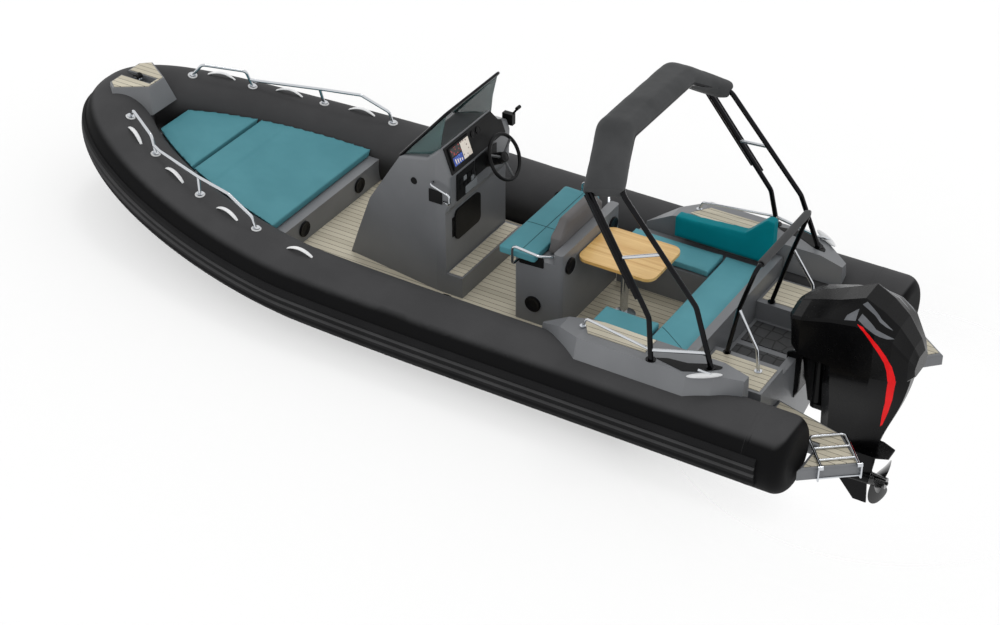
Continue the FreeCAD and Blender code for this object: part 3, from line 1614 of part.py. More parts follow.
def ladder_bracket():
    """Two ears on the platform's slanted edge that carry the hinge pins, with a low bar between them."""
    axis, along, outward = ladder_axis()
    foot = ladder_frame()[0] - UP * (size("platform_high") - size("platform_low")) + outward * size("seat_gap")
    ear = size("ladder_tube")
    eye = ear * LADDER_EYE_SHARE
    inner = size("platform_low") * LADDER_HALF_SHARE + ear * LADDER_EYE_HALF_SHARE + size("seat_gap")
    turn = Rotation(outward, along, UP, "XYZ")
    lumps = []
    for side in (-1, 1):
        low = side * inner if side > 0 else side * inner - ear
        leg = Part.makeBox(ear * 3, ear, axis.z - foot.z)
        leg.Placement = Placement(foot + along * low, turn)
        lumps.append(leg)
        lumps.append(Part.makeCylinder(eye, ear, axis + along * low, along))
        pin = axis + along * (side * inner) - along * (side * ear * 2)
        lumps.append(Part.makeCylinder(size("roller_pin_radius"), ear * 2 + ear / 2, pin, along * side))
    rod = ear * LADDER_ROD_SHARE
    lumps.append(Part.makeCylinder(rod, inner * 2, foot + outward * rod - along * inner + UP * rod, along))
    return lumps[0].multiFuse(lumps[1:])


keep(feature("ladder_bracket", ladder_bracket()))
keep(feature("boarding_ladder", ladder()))

# Loudspeakers: a rim and a cone in one, on the faces that carry them

def speaker(place, normal):
    radius = size("foot_radius") * 2.3
    depth = size("foot_height") * 0.8
    rim = Part.makeCylinder(radius, depth, place, normal)
    dish = Part.makeCone(radius * 0.45, radius * 0.82, depth * 0.7, place + normal * depth * 0.35, normal)
    return rim.cut(dish)


def speakers():
    low = size("deck_height") + size("sole_thickness")
    gap = size("seat_gap")
    discs = []
    for side in (1, -1):
        discs.append(speaker(Vector(size("locker_aft_x") - gap, side * size("sole_half") * 0.55,
                                    between(low, size("locker_aft_top"), 0.55)), AHEAD * -1))
        discs.append(speaker(Vector(size("helm_aft_x") - gap, side * size("helm_half") * 0.75,
                                    between(low, size("helm_ledge_z"), 0.80)), AHEAD * -1))
    discs.append(speaker(Vector(between(size("helm_aft_x"), size("helm_fore_x"), 0.60), size("helm_half") + gap,
                                between(low, size("helm_top"), 0.30)), ATHWART))
    return Part.makeCompound(discs)


keep(feature("loudspeakers", speakers()))

# Clamp bracket: two cheeks hooked over the transom, a plate between them and the tilt tube
clamp_rim = [
    ("0", "bracket_low"),
    ("0", "transom_notch_height"),
    ("transom_thickness", "transom_notch_height"),
    ("transom_thickness", "well_floor + bracket_low"),
    ("transom_thickness + bracket_plate / 2", "well_floor + bracket_low"),
    ("transom_thickness + bracket_plate / 2", "tilt_z"),
    ("tilt_x + tilt_barrel_radius", "tilt_z + tilt_barrel_radius"),
    ("tilt_x - tilt_barrel_radius", "tilt_z + tilt_barrel_radius"),
    ("-bracket_reach", "tilt_z"),
    ("-bracket_reach", "bracket_low * 2"),
]
cheek_port = prism("clamp_cheek_port", "side", clamp_rim, "bracket_half - bracket_plate", "bracket_half")
cheek_starboard = prism("clamp_cheek_starboard", "side", clamp_rim,
                        "-bracket_half", "bracket_plate - bracket_half")
clamp_plate = block("clamp_plate", ("-bracket_plate / 2", "0"), ("-bracket_half", "bracket_half"),
                    ("bracket_low", "transom_notch_height - bracket_low"))


def turned_bar(radius, half, x, z):
    """A bar that lies athwart, centred on the boat's middle."""
    return Part.makeCylinder(radius, half * 2, Vector(x, -half, z), ATHWART)


def clamp_bracket():
    tube = turned_bar(size("tilt_tube_radius"), size("bracket_half") - size("seat_gap"), size("tilt_x"),
                      size("tilt_z"))
    return cheek_port.Shape.multiFuse([cheek_starboard.Shape, clamp_plate.Shape, tube]).removeSplitter()


keep(feature("clamp_bracket", clamp_bracket()))

# Swivel bracket: a barrel on the tilt tube, a web and the upright steering tube
web_rim = [
    ("tilt_x", "tilt_z + tilt_barrel_radius"),
    ("swivel_x", "swivel_high"),
    ("swivel_x", "swivel_low"),
    ("swivel_x + swivel_radius * 1.3", "swivel_low"),
    ("-bracket_plate / 2 - moving_gap * 3", "tilt_z - tilt_barrel_radius * 4"),
    ("tilt_x", "tilt_z - tilt_barrel_radius"),
]
swivel_web = prism("swivel_web", "side", web_rim, "-swivel_web_half", "swivel_web_half")


def upright_bar(radius, low, high, x):
    return Part.makeCylinder(radius, high - low, Vector(x, 0, low), UP)


def swivel_bracket():
    half = size("bracket_half") - size("bracket_plate") - size("moving_gap")
    barrel = turned_bar(size("tilt_barrel_radius"), half, size("tilt_x"), size("tilt_z"))
    bore = turned_bar(size("tilt_tube_radius") + size("running_gap"), half * 2, size("tilt_x"), size("tilt_z"))
    tube = upright_bar(size("swivel_radius"), size("swivel_low"), size("swivel_high"), size("swivel_x"))
    well = upright_bar(size("steer_pin_radius") + size("running_gap"), size("swivel_low") - size("swivel_radius"),
                       size("swivel_high") + size("swivel_radius"), size("swivel_x"))
    return swivel_web.Shape.multiFuse([barrel, tube]).removeSplitter().cut(bore).cut(well)


keep(feature("swivel_bracket", swivel_bracket()))

# Engine cowl: facets ruled between cross-sections, from over the transom to the tail.
# Forward, low edge's height and half width, widest half width and its height, top half width and its height
COWL_SHARES = (
    (0.060, 0.690, 0.47, 0.56, 0.790, 0.14, 0.820),
    (0.015, 0.560, 0.74, 0.84, 0.820, 0.18, 0.865),
    (-0.06, 0.520, 0.92, 0.96, 0.850, 0.25, 0.900),
    (-0.28, 0.520, 0.98, 1.00, 0.915, 0.36, 0.985),
    (-0.46, 0.520, 0.98, 1.00, 0.945, 0.40, 1.068),
    (-0.60, 0.520, 0.94, 0.98, 0.925, 0.38, 1.000),
    (-0.72, 0.520, 0.82, 0.90, 0.860, 0.34, 0.908),
    (-0.83, 0.520, 0.56, 0.64, 0.715, 0.26, 0.765),
    (-0.868, 0.545, 0.38, 0.46, 0.640, 0.20, 0.690),
)


def cowl_section(ahead, low, low_half, mid, mid_height, top_half, top):
    reach = size("cowl_reach")
    half = size("cowl_half")
    x = reach * ahead
    soft = half * 0.045
    port = [Vector(x, half * (low_half - 0.08), reach * low), Vector(x, half * low_half, reach * low + soft),
            Vector(x, half * mid, reach * mid_height - soft * 2), Vector(x, half * mid - soft, reach * mid_height),
            Vector(x, half * top_half + soft, reach * top - soft / 2), Vector(x, half * top_half, reach * top)]
    starboard = [Vector(x, -point.y, point.z) for point in reversed(port)]
    return Part.makePolygon(port + starboard + port[:1])


def engine_cowl():
    return Part.makeLoft([cowl_section(*shares) for shares in COWL_SHARES], True, True)


keep(feature("engine_cowl", engine_cowl()))

# Leg: housing under the cowl, plate over the propeller, gearcase and skeg.
# Heights, aft reaches and half widths as shares of the cowl's low edge, aft reach and half width
HOUSING_SHARES = (
    (1.000, 0.968, 0.84),
    (0.600, 0.925, 0.72),
    (0.200, 0.850, 0.48),
    (-0.15, 0.775, 0.32),
    (-0.46, 0.735, 0.23),
)
FOIL_SHARES = (
    (-0.45, 0.370, 0.735, 0.23),
    (-0.70, 0.380, 0.720, 0.17),
    (-0.94, 0.390, 0.700, 0.13),
)


def foil_ring(height, fore, aft, half):
    """A level section, blunt in front and drawn to an edge behind."""
    length = fore - aft
    port = [Vector(fore - length * 0.02, half * 0.62, height), Vector(fore - length * 0.16, half, height),
            Vector(fore - length * 0.60, half * 0.93, height), Vector(aft + length * 0.015, half * 0.22, height)]
    starboard = [Vector(point.x, -point.y, height) for point in reversed(port)]
    return Part.makePolygon(port + starboard + port[:1])


def housing():
    rings = []
    for upward, aft, half in HOUSING_SHARES:
        rings.append(foil_ring(size("cowl_low") * upward, size("leg_fore_x"), size("cowl_aft_x") * aft,
                               size("cowl_half") * half))
    return Part.makeLoft(rings, True, False)


def gearcase_strut():
    rings = []
    for upward, fore, aft, half in FOIL_SHARES:
        rings.append(foil_ring(size("cowl_low") * upward, size("cowl_aft_x") * fore, size("cowl_aft_x") * aft,
                               size("cowl_half") * half))
    return Part.makeLoft(rings, True, True)


def anti_splash_plate():
    """The flat plate above the propeller, drawn to a rounded tail."""
    half = size("plate_half")
    fore = size("plate_fore_x")
    aft = size("plate_aft_x")
    rim = [Vector(fore, half * 0.5, 0), Vector(fore - half, half, 0), Vector(aft + half, half, 0),
           Vector(aft, half * 0.55, 0)]
    rim = rim + [Vector(point.x, -point.y, 0) for point in reversed(rim)]
    face = Part.Face(Part.makePolygon(rim + rim[:1]))
    plate = face.extrude(UP * size("plate_thickness"))
    plate.translate(UP * size("plate_z"))
    return plate


def gearcase():
    """The bullet that carries the propeller's shaft, turned from its profile."""
    radius = size("gearcase_radius")
    fore = size("gearcase_fore_x")
    aft = size("gearcase_aft_x")
    height = size("shaft_z")
    nose = fore - radius * 2
    curve = Part.Arc(Vector(fore, 0, height), Vector(fore - radius * 0.6, 0, height + radius * 0.72),
                     Vector(nose, 0, height + radius)).toShape()
    rest = Part.makePolygon([Vector(nose, 0, height + radius), Vector(aft, 0, height + radius * 0.86),
                             Vector(aft, 0, height), Vector(fore, 0, height)])
    profile = Part.Face(Part.Wire([curve] + rest.Edges))
    return profile.revolve(Vector(0, 0, height), AHEAD, 360)


def skeg():
    height = size("shaft_z")
    radius = size("gearcase_radius")
    fore = size("gearcase_fore_x") - radius * 1.5
    aft = size("gearcase_aft_x") + radius * 0.4
    rim = [Vector(fore, 0, height - radius * 0.5), Vector(aft, 0, height - radius * 0.5),
           Vector(aft - radius * 0.2, 0, size("skeg_low")), Vector(aft + radius * 1.6, 0, size("skeg_low"))]
    thickness = size("plate_thickness")
    blade = Part.Face(Part.makePolygon(rim + rim[:1])).extrude(ATHWART * thickness)
    blade.translate(ATHWART * (-thickness / 2))
    return blade


def steering_yokes():
    """Arms above and below the steering tube, with the pin through it."""
    radius = size("yoke_radius")
    gap = size("moving_gap") + size("seat_gap")
    lumps = []
    low_arm = size("swivel_low") - gap - size("yoke_height")
    for base in (size("swivel_high") + gap, low_arm):
        lumps.append(upright_bar(radius, base, base + size("yoke_height"), size("swivel_x")))
        lumps.append(Part.makeBox(size("swivel_x") - size("leg_fore_x") + radius, radius * 2, size("yoke_height"),
                                  Vector(size("leg_fore_x") - radius, -radius, base)))
    lumps.append(upright_bar(size("steer_pin_radius"), low_arm, size("swivel_high") + gap + size("yoke_height"),
                             size("swivel_x")))
    return lumps


def propeller_shaft():
    length = size("propeller_hub_length") + size("moving_gap") * 3
    return Part.makeCylinder(size("propeller_shaft"), length, Vector(size("gearcase_aft_x"), 0, size("shaft_z")),
                             AHEAD * -1)


def engine_leg():
    lumps = [gearcase_strut(), anti_splash_plate(), gearcase(), skeg(), propeller_shaft()]
    return housing().multiFuse(lumps + steering_yokes())


keep(feature("engine_leg", engine_leg()))

# Propeller: blades lofted through lens sections that twist with the pitch.
# Distance out, chord and thickness as shares of the tip radius, tip radius and root thickness
BLADE_SHARES = (
    (0.20, 0.56, 1.00),
    (0.42, 0.78, 0.80),
    (0.64, 0.92, 0.60),
    (0.84, 0.80, 0.42),
    (0.96, 0.46, 0.30),
    (1.00, 0.16, 0.24),
)
BLADE_COUNT = 3


def blade_section(distance, chord, thickness, lag):
    """A lens in the plane square to the radius, set at the pitch angle there."""
    slope = math.atan2(size("propeller_pitch"), math.pi * 2 * distance)
    along = Vector(-math.sin(slope), math.cos(slope), 0)
    square = Vector(math.cos(slope), math.sin(slope), 0)
    middle = Vector(0, 0, distance) - along * lag
    lead = middle + along * (chord / 2)
    trail = middle - along * (chord / 2)
    rake = AHEAD * (-distance * 0.16)
    back = Part.Arc(lead + rake, middle + square * (thickness / 2) + rake, trail + rake).toShape()
    face = Part.Arc(trail + rake, middle - square * (thickness / 2) + rake, lead + rake).toShape()
    return Part.Wire([back, face])


def blade():
    tip = size("propeller_radius")
    sections = []
    for distance, chord, thickness in BLADE_SHARES:
        lag = tip * 0.10 * distance ** 2
        sections.append(blade_section(tip * distance, tip * chord,
                                      size("propeller_blade_thickness") * thickness, lag))
    return Part.makeLoft(sections, True, False)


def propeller():
    fore = size("gearcase_aft_x") - size("moving_gap")
    length = size("propeller_hub_length")
    height = size("shaft_z")
    hub = Part.makeCone(size("propeller_hub_radius"), size("propeller_hub_radius") * 0.88, length,
                        Vector(fore, 0, height), AHEAD * -1)
    lumps = []
    for number in range(BLADE_COUNT):
        one = blade()
        one.rotate(Vector(), AHEAD, 360 / BLADE_COUNT * number + 60)
        one.translate(Vector(fore - length * 0.42, 0, height))
        lumps.append(one)
    bore = Part.makeCylinder(size("propeller_shaft") + size("running_gap"), length * 2,
                             Vector(fore + length / 2, 0, height), AHEAD * -1)
    return hub.multiFuse(lumps).cut(bore)


keep(feature("propeller", propeller()))

# Checks, then one file for each sub-part
for item in doc.Objects:
    if "Invalid" in item.State or "Error" in item.State:
        raise RuntimeError(f"{item.Name} did not compute: {item.State}")
for part in PARTS:
    if part.Shape.isNull() or not part.Shape.isValid():
        raise RuntimeError(f"{part.Label} has no valid shape")
os.makedirs("parts", exist_ok=True)
for part in PARTS:
    part.Shape.exportStep(f"parts/{part.Label}.step")
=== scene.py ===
# %% [markdown]
# # Dressing a rigid inflatable boat
# The solid model of the boat is already made and its joints are fixed. This script loads it as a frame,
# then gives every surface its real finish and adds the soft and small pieces that a solid model leaves
# out. All lengths are metres: +X is forward, +Y is to port, and the water is the plane Z = 0.

import math

import bmesh
import bpy
from mathutils import Matrix, Vector
from mathutils.bvhtree import BVHTree


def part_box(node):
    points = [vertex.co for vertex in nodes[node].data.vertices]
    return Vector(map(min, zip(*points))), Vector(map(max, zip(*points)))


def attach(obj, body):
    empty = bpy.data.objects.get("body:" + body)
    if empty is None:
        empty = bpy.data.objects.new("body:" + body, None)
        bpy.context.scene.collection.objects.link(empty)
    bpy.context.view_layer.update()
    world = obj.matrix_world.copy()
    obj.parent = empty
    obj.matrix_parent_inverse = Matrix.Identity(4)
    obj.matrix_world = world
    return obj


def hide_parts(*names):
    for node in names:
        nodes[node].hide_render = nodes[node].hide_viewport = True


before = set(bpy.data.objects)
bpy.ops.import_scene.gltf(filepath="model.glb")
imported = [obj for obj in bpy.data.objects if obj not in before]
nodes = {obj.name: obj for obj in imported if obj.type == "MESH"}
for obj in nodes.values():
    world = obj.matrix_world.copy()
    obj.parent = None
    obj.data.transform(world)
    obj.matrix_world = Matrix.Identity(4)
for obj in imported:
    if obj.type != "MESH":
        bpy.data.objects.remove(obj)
scene = bpy.context.scene
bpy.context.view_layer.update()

# %% [markdown]
# ## The camera
# The boat was pictured from high on its port quarter with a long lens, which keeps the far tube nearly
# as large as the near one. A closer camera with a wider lens would frame the same boat but bend its shape.

# %% Camera
IMAGE_SIZE = (1000, 625)
EYE = Vector((-4.652, 11.899, 9.374))
LOOK = Vector((0.42429, -0.70679, -0.56600))
FOCAL_PIXELS = 2190.9
SENSOR_WIDTH = 36.0

camera_data = bpy.data.cameras.new("camera")
camera_data.sensor_width = SENSOR_WIDTH
camera_data.lens = FOCAL_PIXELS / IMAGE_SIZE[0] * SENSOR_WIDTH
camera_data.clip_end = 200.0
camera = bpy.data.objects.new("camera", camera_data)
camera.location = EYE
camera.rotation_euler = LOOK.to_track_quat("-Z", "Y").to_euler()
scene.collection.objects.link(camera)
scene.camera = camera
scene.view_settings.view_transform = "Standard"
print("lens", round(camera_data.lens, 1), "mm")

# %% [markdown]
# ## Colours and nodes
# Colours are picked on a screen, so they are written as the sRGB numbers that a picture editor shows.
# Shaders work on linear light, and one function turns the first into the second. A second function adds
# a node, sets it and links it in one line, which keeps each finish short enough to read.

# %% Colour and node helpers
def linear(colour):
    """A colour written as #rrggbb, as the linear values that a shader works on."""
    parts = [int(colour[i:i + 2], 16) / 255 for i in (1, 3, 5)]
    return [p / 12.92 if p <= 0.04045 else ((p + 0.055) / 1.055) ** 2.4 for p in parts] + [1.0]


def add(tree, kind, values=(), links=()):
    """Adds one shader node: values go to its settings or sockets, links to its sockets."""
    node = tree.nodes.new("ShaderNode" + kind)
    for key, value in dict(values).items():
        if isinstance(key, str) and hasattr(node, key):
            setattr(node, key, value)
        else:
            node.inputs[key].default_value = value
    for key, source in dict(links).items():
        tree.links.new(source, node.inputs[key])
    return node


finishes = {}


def blank_finish(name, **sockets):
    """A new finish with its shader's own sockets set. It gives back the node tree and the shader."""
    finishes[name] = bpy.data.materials.new(name)
    finishes[name].use_nodes = True
    tree = finishes[name].node_tree
    shader = tree.nodes["Principled BSDF"]
    for key, value in sockets.items():
        shader.inputs[key.replace("_", " ").title().replace("Ior", "IOR")].default_value = value
    return tree, shader


# %% [markdown]
# ## Light and floor
# The picture is a plain studio shot on white. A white world gives most of the light, and one broad lamp
# adds a little from above, so tops are paler than flanks. The floor is the water plane. It is a little
# more than half clear, so the hull's lower half shows through it as it would in clean water.

# %% World, lamp and floor
MM = 0.001
BACKDROP = 1.0
FILL = 0.96
LAMP_STRENGTH = 0.35
LAMP_BREADTH = 14
LAMP_AIM = (-0.10, 0.42, -1.0)

world = bpy.data.worlds.new("studio")
scene.world = world
world.use_nodes = True
sky = world.node_tree
path = add(sky, "LightPath")
direct = add(sky, "Math", {"operation": "MAXIMUM"},
             {0: path.outputs["Is Camera Ray"], 1: path.outputs["Is Glossy Ray"]})
shown = add(sky, "Math", {"operation": "MAXIMUM"},
            {0: direct.outputs[0], 1: path.outputs["Is Transmission Ray"]})
level = add(sky, "MapRange", {"To Min": FILL, "To Max": BACKDROP}, {"Value": shown.outputs[0]})
background = sky.nodes["Background"]
background.inputs["Color"].default_value = (1, 1, 1, 1)
sky.links.new(level.outputs[0], background.inputs["Strength"])

sun_data = bpy.data.lights.new("soft_lamp", "SUN")
sun_data.energy = LAMP_STRENGTH
sun_data.angle = math.radians(LAMP_BREADTH)
sun = bpy.data.objects.new("soft_lamp", sun_data)
sun.rotation_euler = Vector(LAMP_AIM).to_track_quat("-Z", "Y").to_euler()
scene.collection.objects.link(sun)

FLOOR_HALF = 60.0
FLOOR_CLEAR = 0.55
floor_mesh = bpy.data.meshes.new("floor")
shape = bmesh.new()
bmesh.ops.create_grid(shape, x_segments=1, y_segments=1, size=FLOOR_HALF)
shape.to_mesh(floor_mesh)
shape.free()
floor = bpy.data.objects.new("floor", floor_mesh)
scene.collection.objects.link(floor)
tree, shader = blank_finish("studio_floor", base_color=linear("#fafafa"), roughness=0.9)
clear = add(tree, "BsdfTransparent")
half = add(tree, "MixShader", {0: FLOOR_CLEAR}, {1: shader.outputs[0], 2: clear.outputs[0]})
tree.links.new(half.outputs[0], tree.nodes["Material Output"].inputs["Surface"])
floor_mesh.materials.append(finishes["studio_floor"])
print("studio ready")

# %% [markdown]
# ## Tube fabric
# The two tubes are polyester cloth coated with synthetic rubber, cut in panels and glued. The coating is
# dull and almost even. Close up it has a fine pebble, and from a step away it looks slightly cloudy. The
# pebble of the real cloth is under a millimetre, too fine for this picture, so it is drawn 5 mm wide.

# %% Coated tube fabric
def cloudy(name, dark, pale, cloud_mm, grain_mm, bump_mm, rough, **sockets):
    """A finish of two near colours in soft clouds, with a fine grain that roughens and dents it."""
    tree, shader = blank_finish(name, roughness=rough, **sockets)
    place = add(tree, "TexCoord").outputs["Object"]
    cloud = add(tree, "TexNoise", {"Scale": 1 / (cloud_mm * MM), "Detail": 4.0}, {"Vector": place})
    tone = add(tree, "MapRange", {"From Min": 0.35, "From Max": 0.65}, {"Value": cloud.outputs[0]})
    colour = add(tree, "Mix", {"data_type": "RGBA", 6: linear(dark), 7: linear(pale)}, {0: tone.outputs[0]})
    grain = add(tree, "TexNoise", {"Scale": 1 / (grain_mm * MM), "Detail": 2.0}, {"Vector": place})
    gloss = add(tree, "MapRange", {"To Min": rough - 0.06, "To Max": rough + 0.08},
                {"Value": grain.outputs[0]})
    bump = add(tree, "Bump", {"Strength": 0.6, "Distance": bump_mm * MM}, {"Height": grain.outputs[0]})
    tree.links.new(colour.outputs[2], shader.inputs["Base Color"])
    tree.links.new(gloss.outputs[0], shader.inputs["Roughness"])
    tree.links.new(bump.outputs[0], shader.inputs["Normal"])
    return tree, shader


cloudy("ribbed_rubber", "#171718", "#1c1c1d", 300, 6, 0.5, 0.6, specular_ior_level=0.08)
# Painted highlight: a paler grey for the upward-sloping faces of the strake ribs.
cloudy("rib_painted_highlight", "#3b3b3c", "#434344", 300, 6, 0.5, 0.5, specular_ior_level=0.15)
# Painted shade: these are the tube's crown colours, and the next cell darkens its flanks toward black.
cloudy("tube_with_painted_shade", "#404041", "#464647", 420, 5, 0.5, 0.62, specular_ior_level=0.06)

# %% [markdown]
# ## Painted shade on the tubes
# Each tube is charcoal over its crown. Down its outer flank the colour is painted to near black, and its
# inner side is painted partly darker towards the bottom: this is painted shade, with a soft change between.
# The flank is found from the way the surface faces: outward from the boat's middle, and steeper than the
# crown. Nothing here depends on the camera, so the bands stay put.

# %% Painted shade on the tube flanks
FLANK_SHADE_START, FLANK_SHADE_END = 0.78, 0.60
INNER_SHADE_START, INNER_SHADE_END = 0.55, 0.05
MIDDLE_OF_BOAT = (3.0, 0.0, 0.0)
tree = finishes["tube_with_painted_shade"].node_tree
shader = tree.nodes["Principled BSDF"]
facing = add(tree, "NewGeometry").outputs["Normal"]
place = add(tree, "TexCoord").outputs["Object"]
arm = add(tree, "VectorMath", {"operation": "SUBTRACT", 1: MIDDLE_OF_BOAT}, {0: place})
flat_arm = add(tree, "VectorMath", {"operation": "MULTIPLY", 1: (1.0, 1.0, 0.0)}, {0: arm.outputs[0]})
lean = add(tree, "VectorMath", {"operation": "DOT_PRODUCT"}, {0: facing, 1: flat_arm.outputs[0]})
outer = add(tree, "Math", {"operation": "GREATER_THAN", 1: 0.0}, {0: lean.outputs["Value"]})
parts = add(tree, "SeparateXYZ", (), {0: facing})
soft_step = {"interpolation_type": "SMOOTHSTEP"}
flank = add(tree, "MapRange", {**soft_step, "From Min": FLANK_SHADE_START, "From Max": FLANK_SHADE_END},
            {"Value": parts.outputs["Z"]})
inner = add(tree, "MapRange", {**soft_step, "From Min": INNER_SHADE_START, "From Max": INNER_SHADE_END, "To Max": 0.6},
            {"Value": parts.outputs["Z"]})
# Painted shade: how far each point of the tube is darkened toward black.
dark = add(tree, "Mix", {"data_type": "FLOAT"},
           {0: outer.outputs[0], 2: inner.outputs[0], 3: flank.outputs[0]})
crown_colour = shader.inputs["Base Color"].links[0].from_socket
shaded_tube_colour = add(tree, "Mix", {"data_type": "RGBA", 7: linear("#0f0f10")},
               {0: dark.outputs[0], 6: crown_colour})
tree.links.new(shaded_tube_colour.outputs[2], shader.inputs["Base Color"])
print("finishes:", sorted(finishes))

# %% [markdown]
# ## Moulded surfaces
# The hull, console, seats and coamings are glass fibre behind a coloured gelcoat. Gelcoat copies its
# polished mould, so it is even in colour and softly glossy, with a faint ripple. Plastic fittings are
# injection moulded: even too, but duller, with a spark-eroded grain.

# %% Gelcoat and plastics
cloudy("grey_gelcoat", "#686a6d", "#707275", 500, 16, 0.25, 0.36, coat_weight=0.15, coat_roughness=0.2)
cloudy("handle_plastic", "#e2e3e4", "#ececed", 90, 4, 0.3, 0.4)
cloudy("pad_white", "#c9cacb", "#d6d7d8", 60, 3, 0.3, 0.35)
cloudy("spoke_grey", "#3a3c3e", "#434547", 80, 3, 0.2, 0.35)
cloudy("panel_grey", "#5b5d61", "#67696d", 90, 4, 0.15, 0.3, specular_ior_level=0.2)
cloudy("red_tape", "#e01519", "#ea1b1f", 120, 4, 0.1, 0.3, specular_ior_level=0.1)
cloudy("black_plastic", "#0b0b0c", "#131314", 120, 4, 0.3, 0.4, specular_ior_level=0.14)
cloudy("engine_enamel", "#060607", "#0a0a0b", 300, 20, 0.12, 0.24, specular_ior_level=0.12)
cloudy("canvas_cover", "#3c3d3e", "#454647", 240, 4, 0.9, 0.85, specular_ior_level=0.08, sheen_weight=0.1)
print(len(finishes), "finishes")

# %% [markdown]
# ## Upholstery
# The seats are foam under coated marine vinyl. Its surface is embossed like leather: shallow pebbles a
# few millimetres across, flat enough that the pad looks smooth and only breaks up the highlights.

# %% Upholstery vinyl
cloudy("teal_vinyl", "#4a838d", "#518b95", 350, 4, 0.5, 0.5, specular_ior_level=0.1)
cloudy("dark_teal_vinyl", "#00757f", "#027c87", 350, 4, 0.5, 0.5, specular_ior_level=0.08)
# Painted light: the stern pads are the same teal vinyl, drawn paler to offset the shade that the arch and
# backrest cast on them.
cloudy("stern_teal_painted_light", "#56939e", "#5d9ba6", 350, 4, 0.5, 0.5, specular_ior_level=0.1)
cloudy("grey_vinyl", "#5f5d5d", "#686666", 300, 4, 0.5, 0.55, specular_ior_level=0.15)
# Painted shade: a dark teal for the cords that stand for the shade in the seam grooves.
cloudy("seam_groove_shade", "#1f5058", "#265a62", 60, 3, 0.4, 0.7)
print(len(finishes), "finishes")

# %% [markdown]
# ## Metal
# The rails are stainless tube, bent and then polished. What the eye reads is the mirror of floor and
# sky, broken by fine wear. The arch, the hoop and the windscreen's rail are aluminium tube in black gloss
# paint: a very dark metal under a thin clear coat, which is bright only along its rims.

# %% Stainless and black paint
SCRATCH_MM = 6
POLISH = 0.14
tree, shader = blank_finish("polished_stainless", metallic=1.0, base_color=linear("#c9ccd0"))
place = add(tree, "TexCoord").outputs["Object"]
scratch = add(tree, "TexNoise", {"Scale": 1 / (SCRATCH_MM * MM), "Detail": 3.0}, {"Vector": place})
gloss = add(tree, "MapRange", {"To Min": POLISH * 0.6, "To Max": POLISH * 1.5}, {"Value": scratch.outputs[0]})
bump = add(tree, "Bump", {"Strength": 0.15, "Distance": 0.2 * MM}, {"Height": scratch.outputs[0]})
tree.links.new(gloss.outputs[0], shader.inputs["Roughness"])
tree.links.new(bump.outputs[0], shader.inputs["Normal"])
cloudy("black_paint", "#131315", "#19191b", 200, 7, 0.05, 0.14, metallic=1.0, coat_weight=0.15)
cloudy("propeller_enamel", "#0c0c0d", "#131314", 120, 8, 0.12, 0.2, coat_weight=0.4, coat_roughness=0.1)
print(len(finishes), "finishes")

# %% [markdown]
# ## Laid decking
# The pale decks are strips of synthetic teak with dark rubber seams between them. The pattern is worked
# out from two real sizes, the 52 mm strip and its 5 mm seam, and each strip gets its own tone and a
# grain drawn out along it.

# %% Synthetic teak
STRIP_MM = 52
SEAM_MM = 5.0
STRIP_CONTRAST = 0.45
GRAIN_STRETCH = (-9.0, 14.0, 1.0)
tree, shader = blank_finish("laid_teak", roughness=0.62, specular_ior_level=0.3)
place = add(tree, "TexCoord").outputs["Object"]
parts = add(tree, "SeparateXYZ", (), {0: place})
count = add(tree, "Math", {"operation": "DIVIDE", 1: STRIP_MM * MM}, {0: parts.outputs["Y"]})
strip = add(tree, "Math", {"operation": "FLOOR"}, {0: count.outputs[0]})
within = add(tree, "Math", {"operation": "FRACT"}, {0: count.outputs[0]})
gap = add(tree, "Math", {"operation": "LESS_THAN", 1: SEAM_MM / STRIP_MM}, {0: within.outputs[0]})
tone = add(tree, "TexWhiteNoise", {"noise_dimensions": "1D"}, {"W": strip.outputs[0]})
spread = add(tree, "CombineXYZ", (), {0: parts.outputs["X"], 1: count.outputs[0]})
stretch = add(tree, "VectorMath", {"operation": "MULTIPLY", 1: GRAIN_STRETCH}, {0: spread.outputs[0]})
grain = add(tree, "TexNoise", {"Scale": 1.0, "Detail": 5.0, "Roughness": 0.6}, {"Vector": stretch.outputs[0]})
shade = add(tree, "Math", {"operation": "MULTIPLY_ADD", 1: STRIP_CONTRAST},
            {0: tone.outputs[0], 2: grain.outputs[0]})
ranged = add(tree, "MapRange", {"From Min": 0.35, "From Max": 1.0}, {"Value": shade.outputs[0]})
wood = add(tree, "Mix", {"data_type": "RGBA", 6: linear("#b7b09d"), 7: linear("#cbc4b1")},
           {0: ranged.outputs[0]})
colour = add(tree, "Mix", {"data_type": "RGBA", 7: linear("#6b655a")},
             {0: gap.outputs[0], 6: wood.outputs[2]})
height = add(tree, "Math", {"operation": "SUBTRACT"}, {0: grain.outputs[0], 1: gap.outputs[0]})
bump = add(tree, "Bump", {"Strength": 0.5, "Distance": 1.0 * MM}, {"Height": height.outputs[0]})
tree.links.new(colour.outputs[2], shader.inputs["Base Color"])
tree.links.new(bump.outputs[0], shader.inputs["Normal"])
print("decking laid in", STRIP_MM, "mm strips")

# %% [markdown]
# ## Well mats
# The wells beside the engine are lined with black mats moulded in large cells. A cell pattern with a
# dark joint is worked out from the cell's real width, about 95 mm, in the mat's own finish.

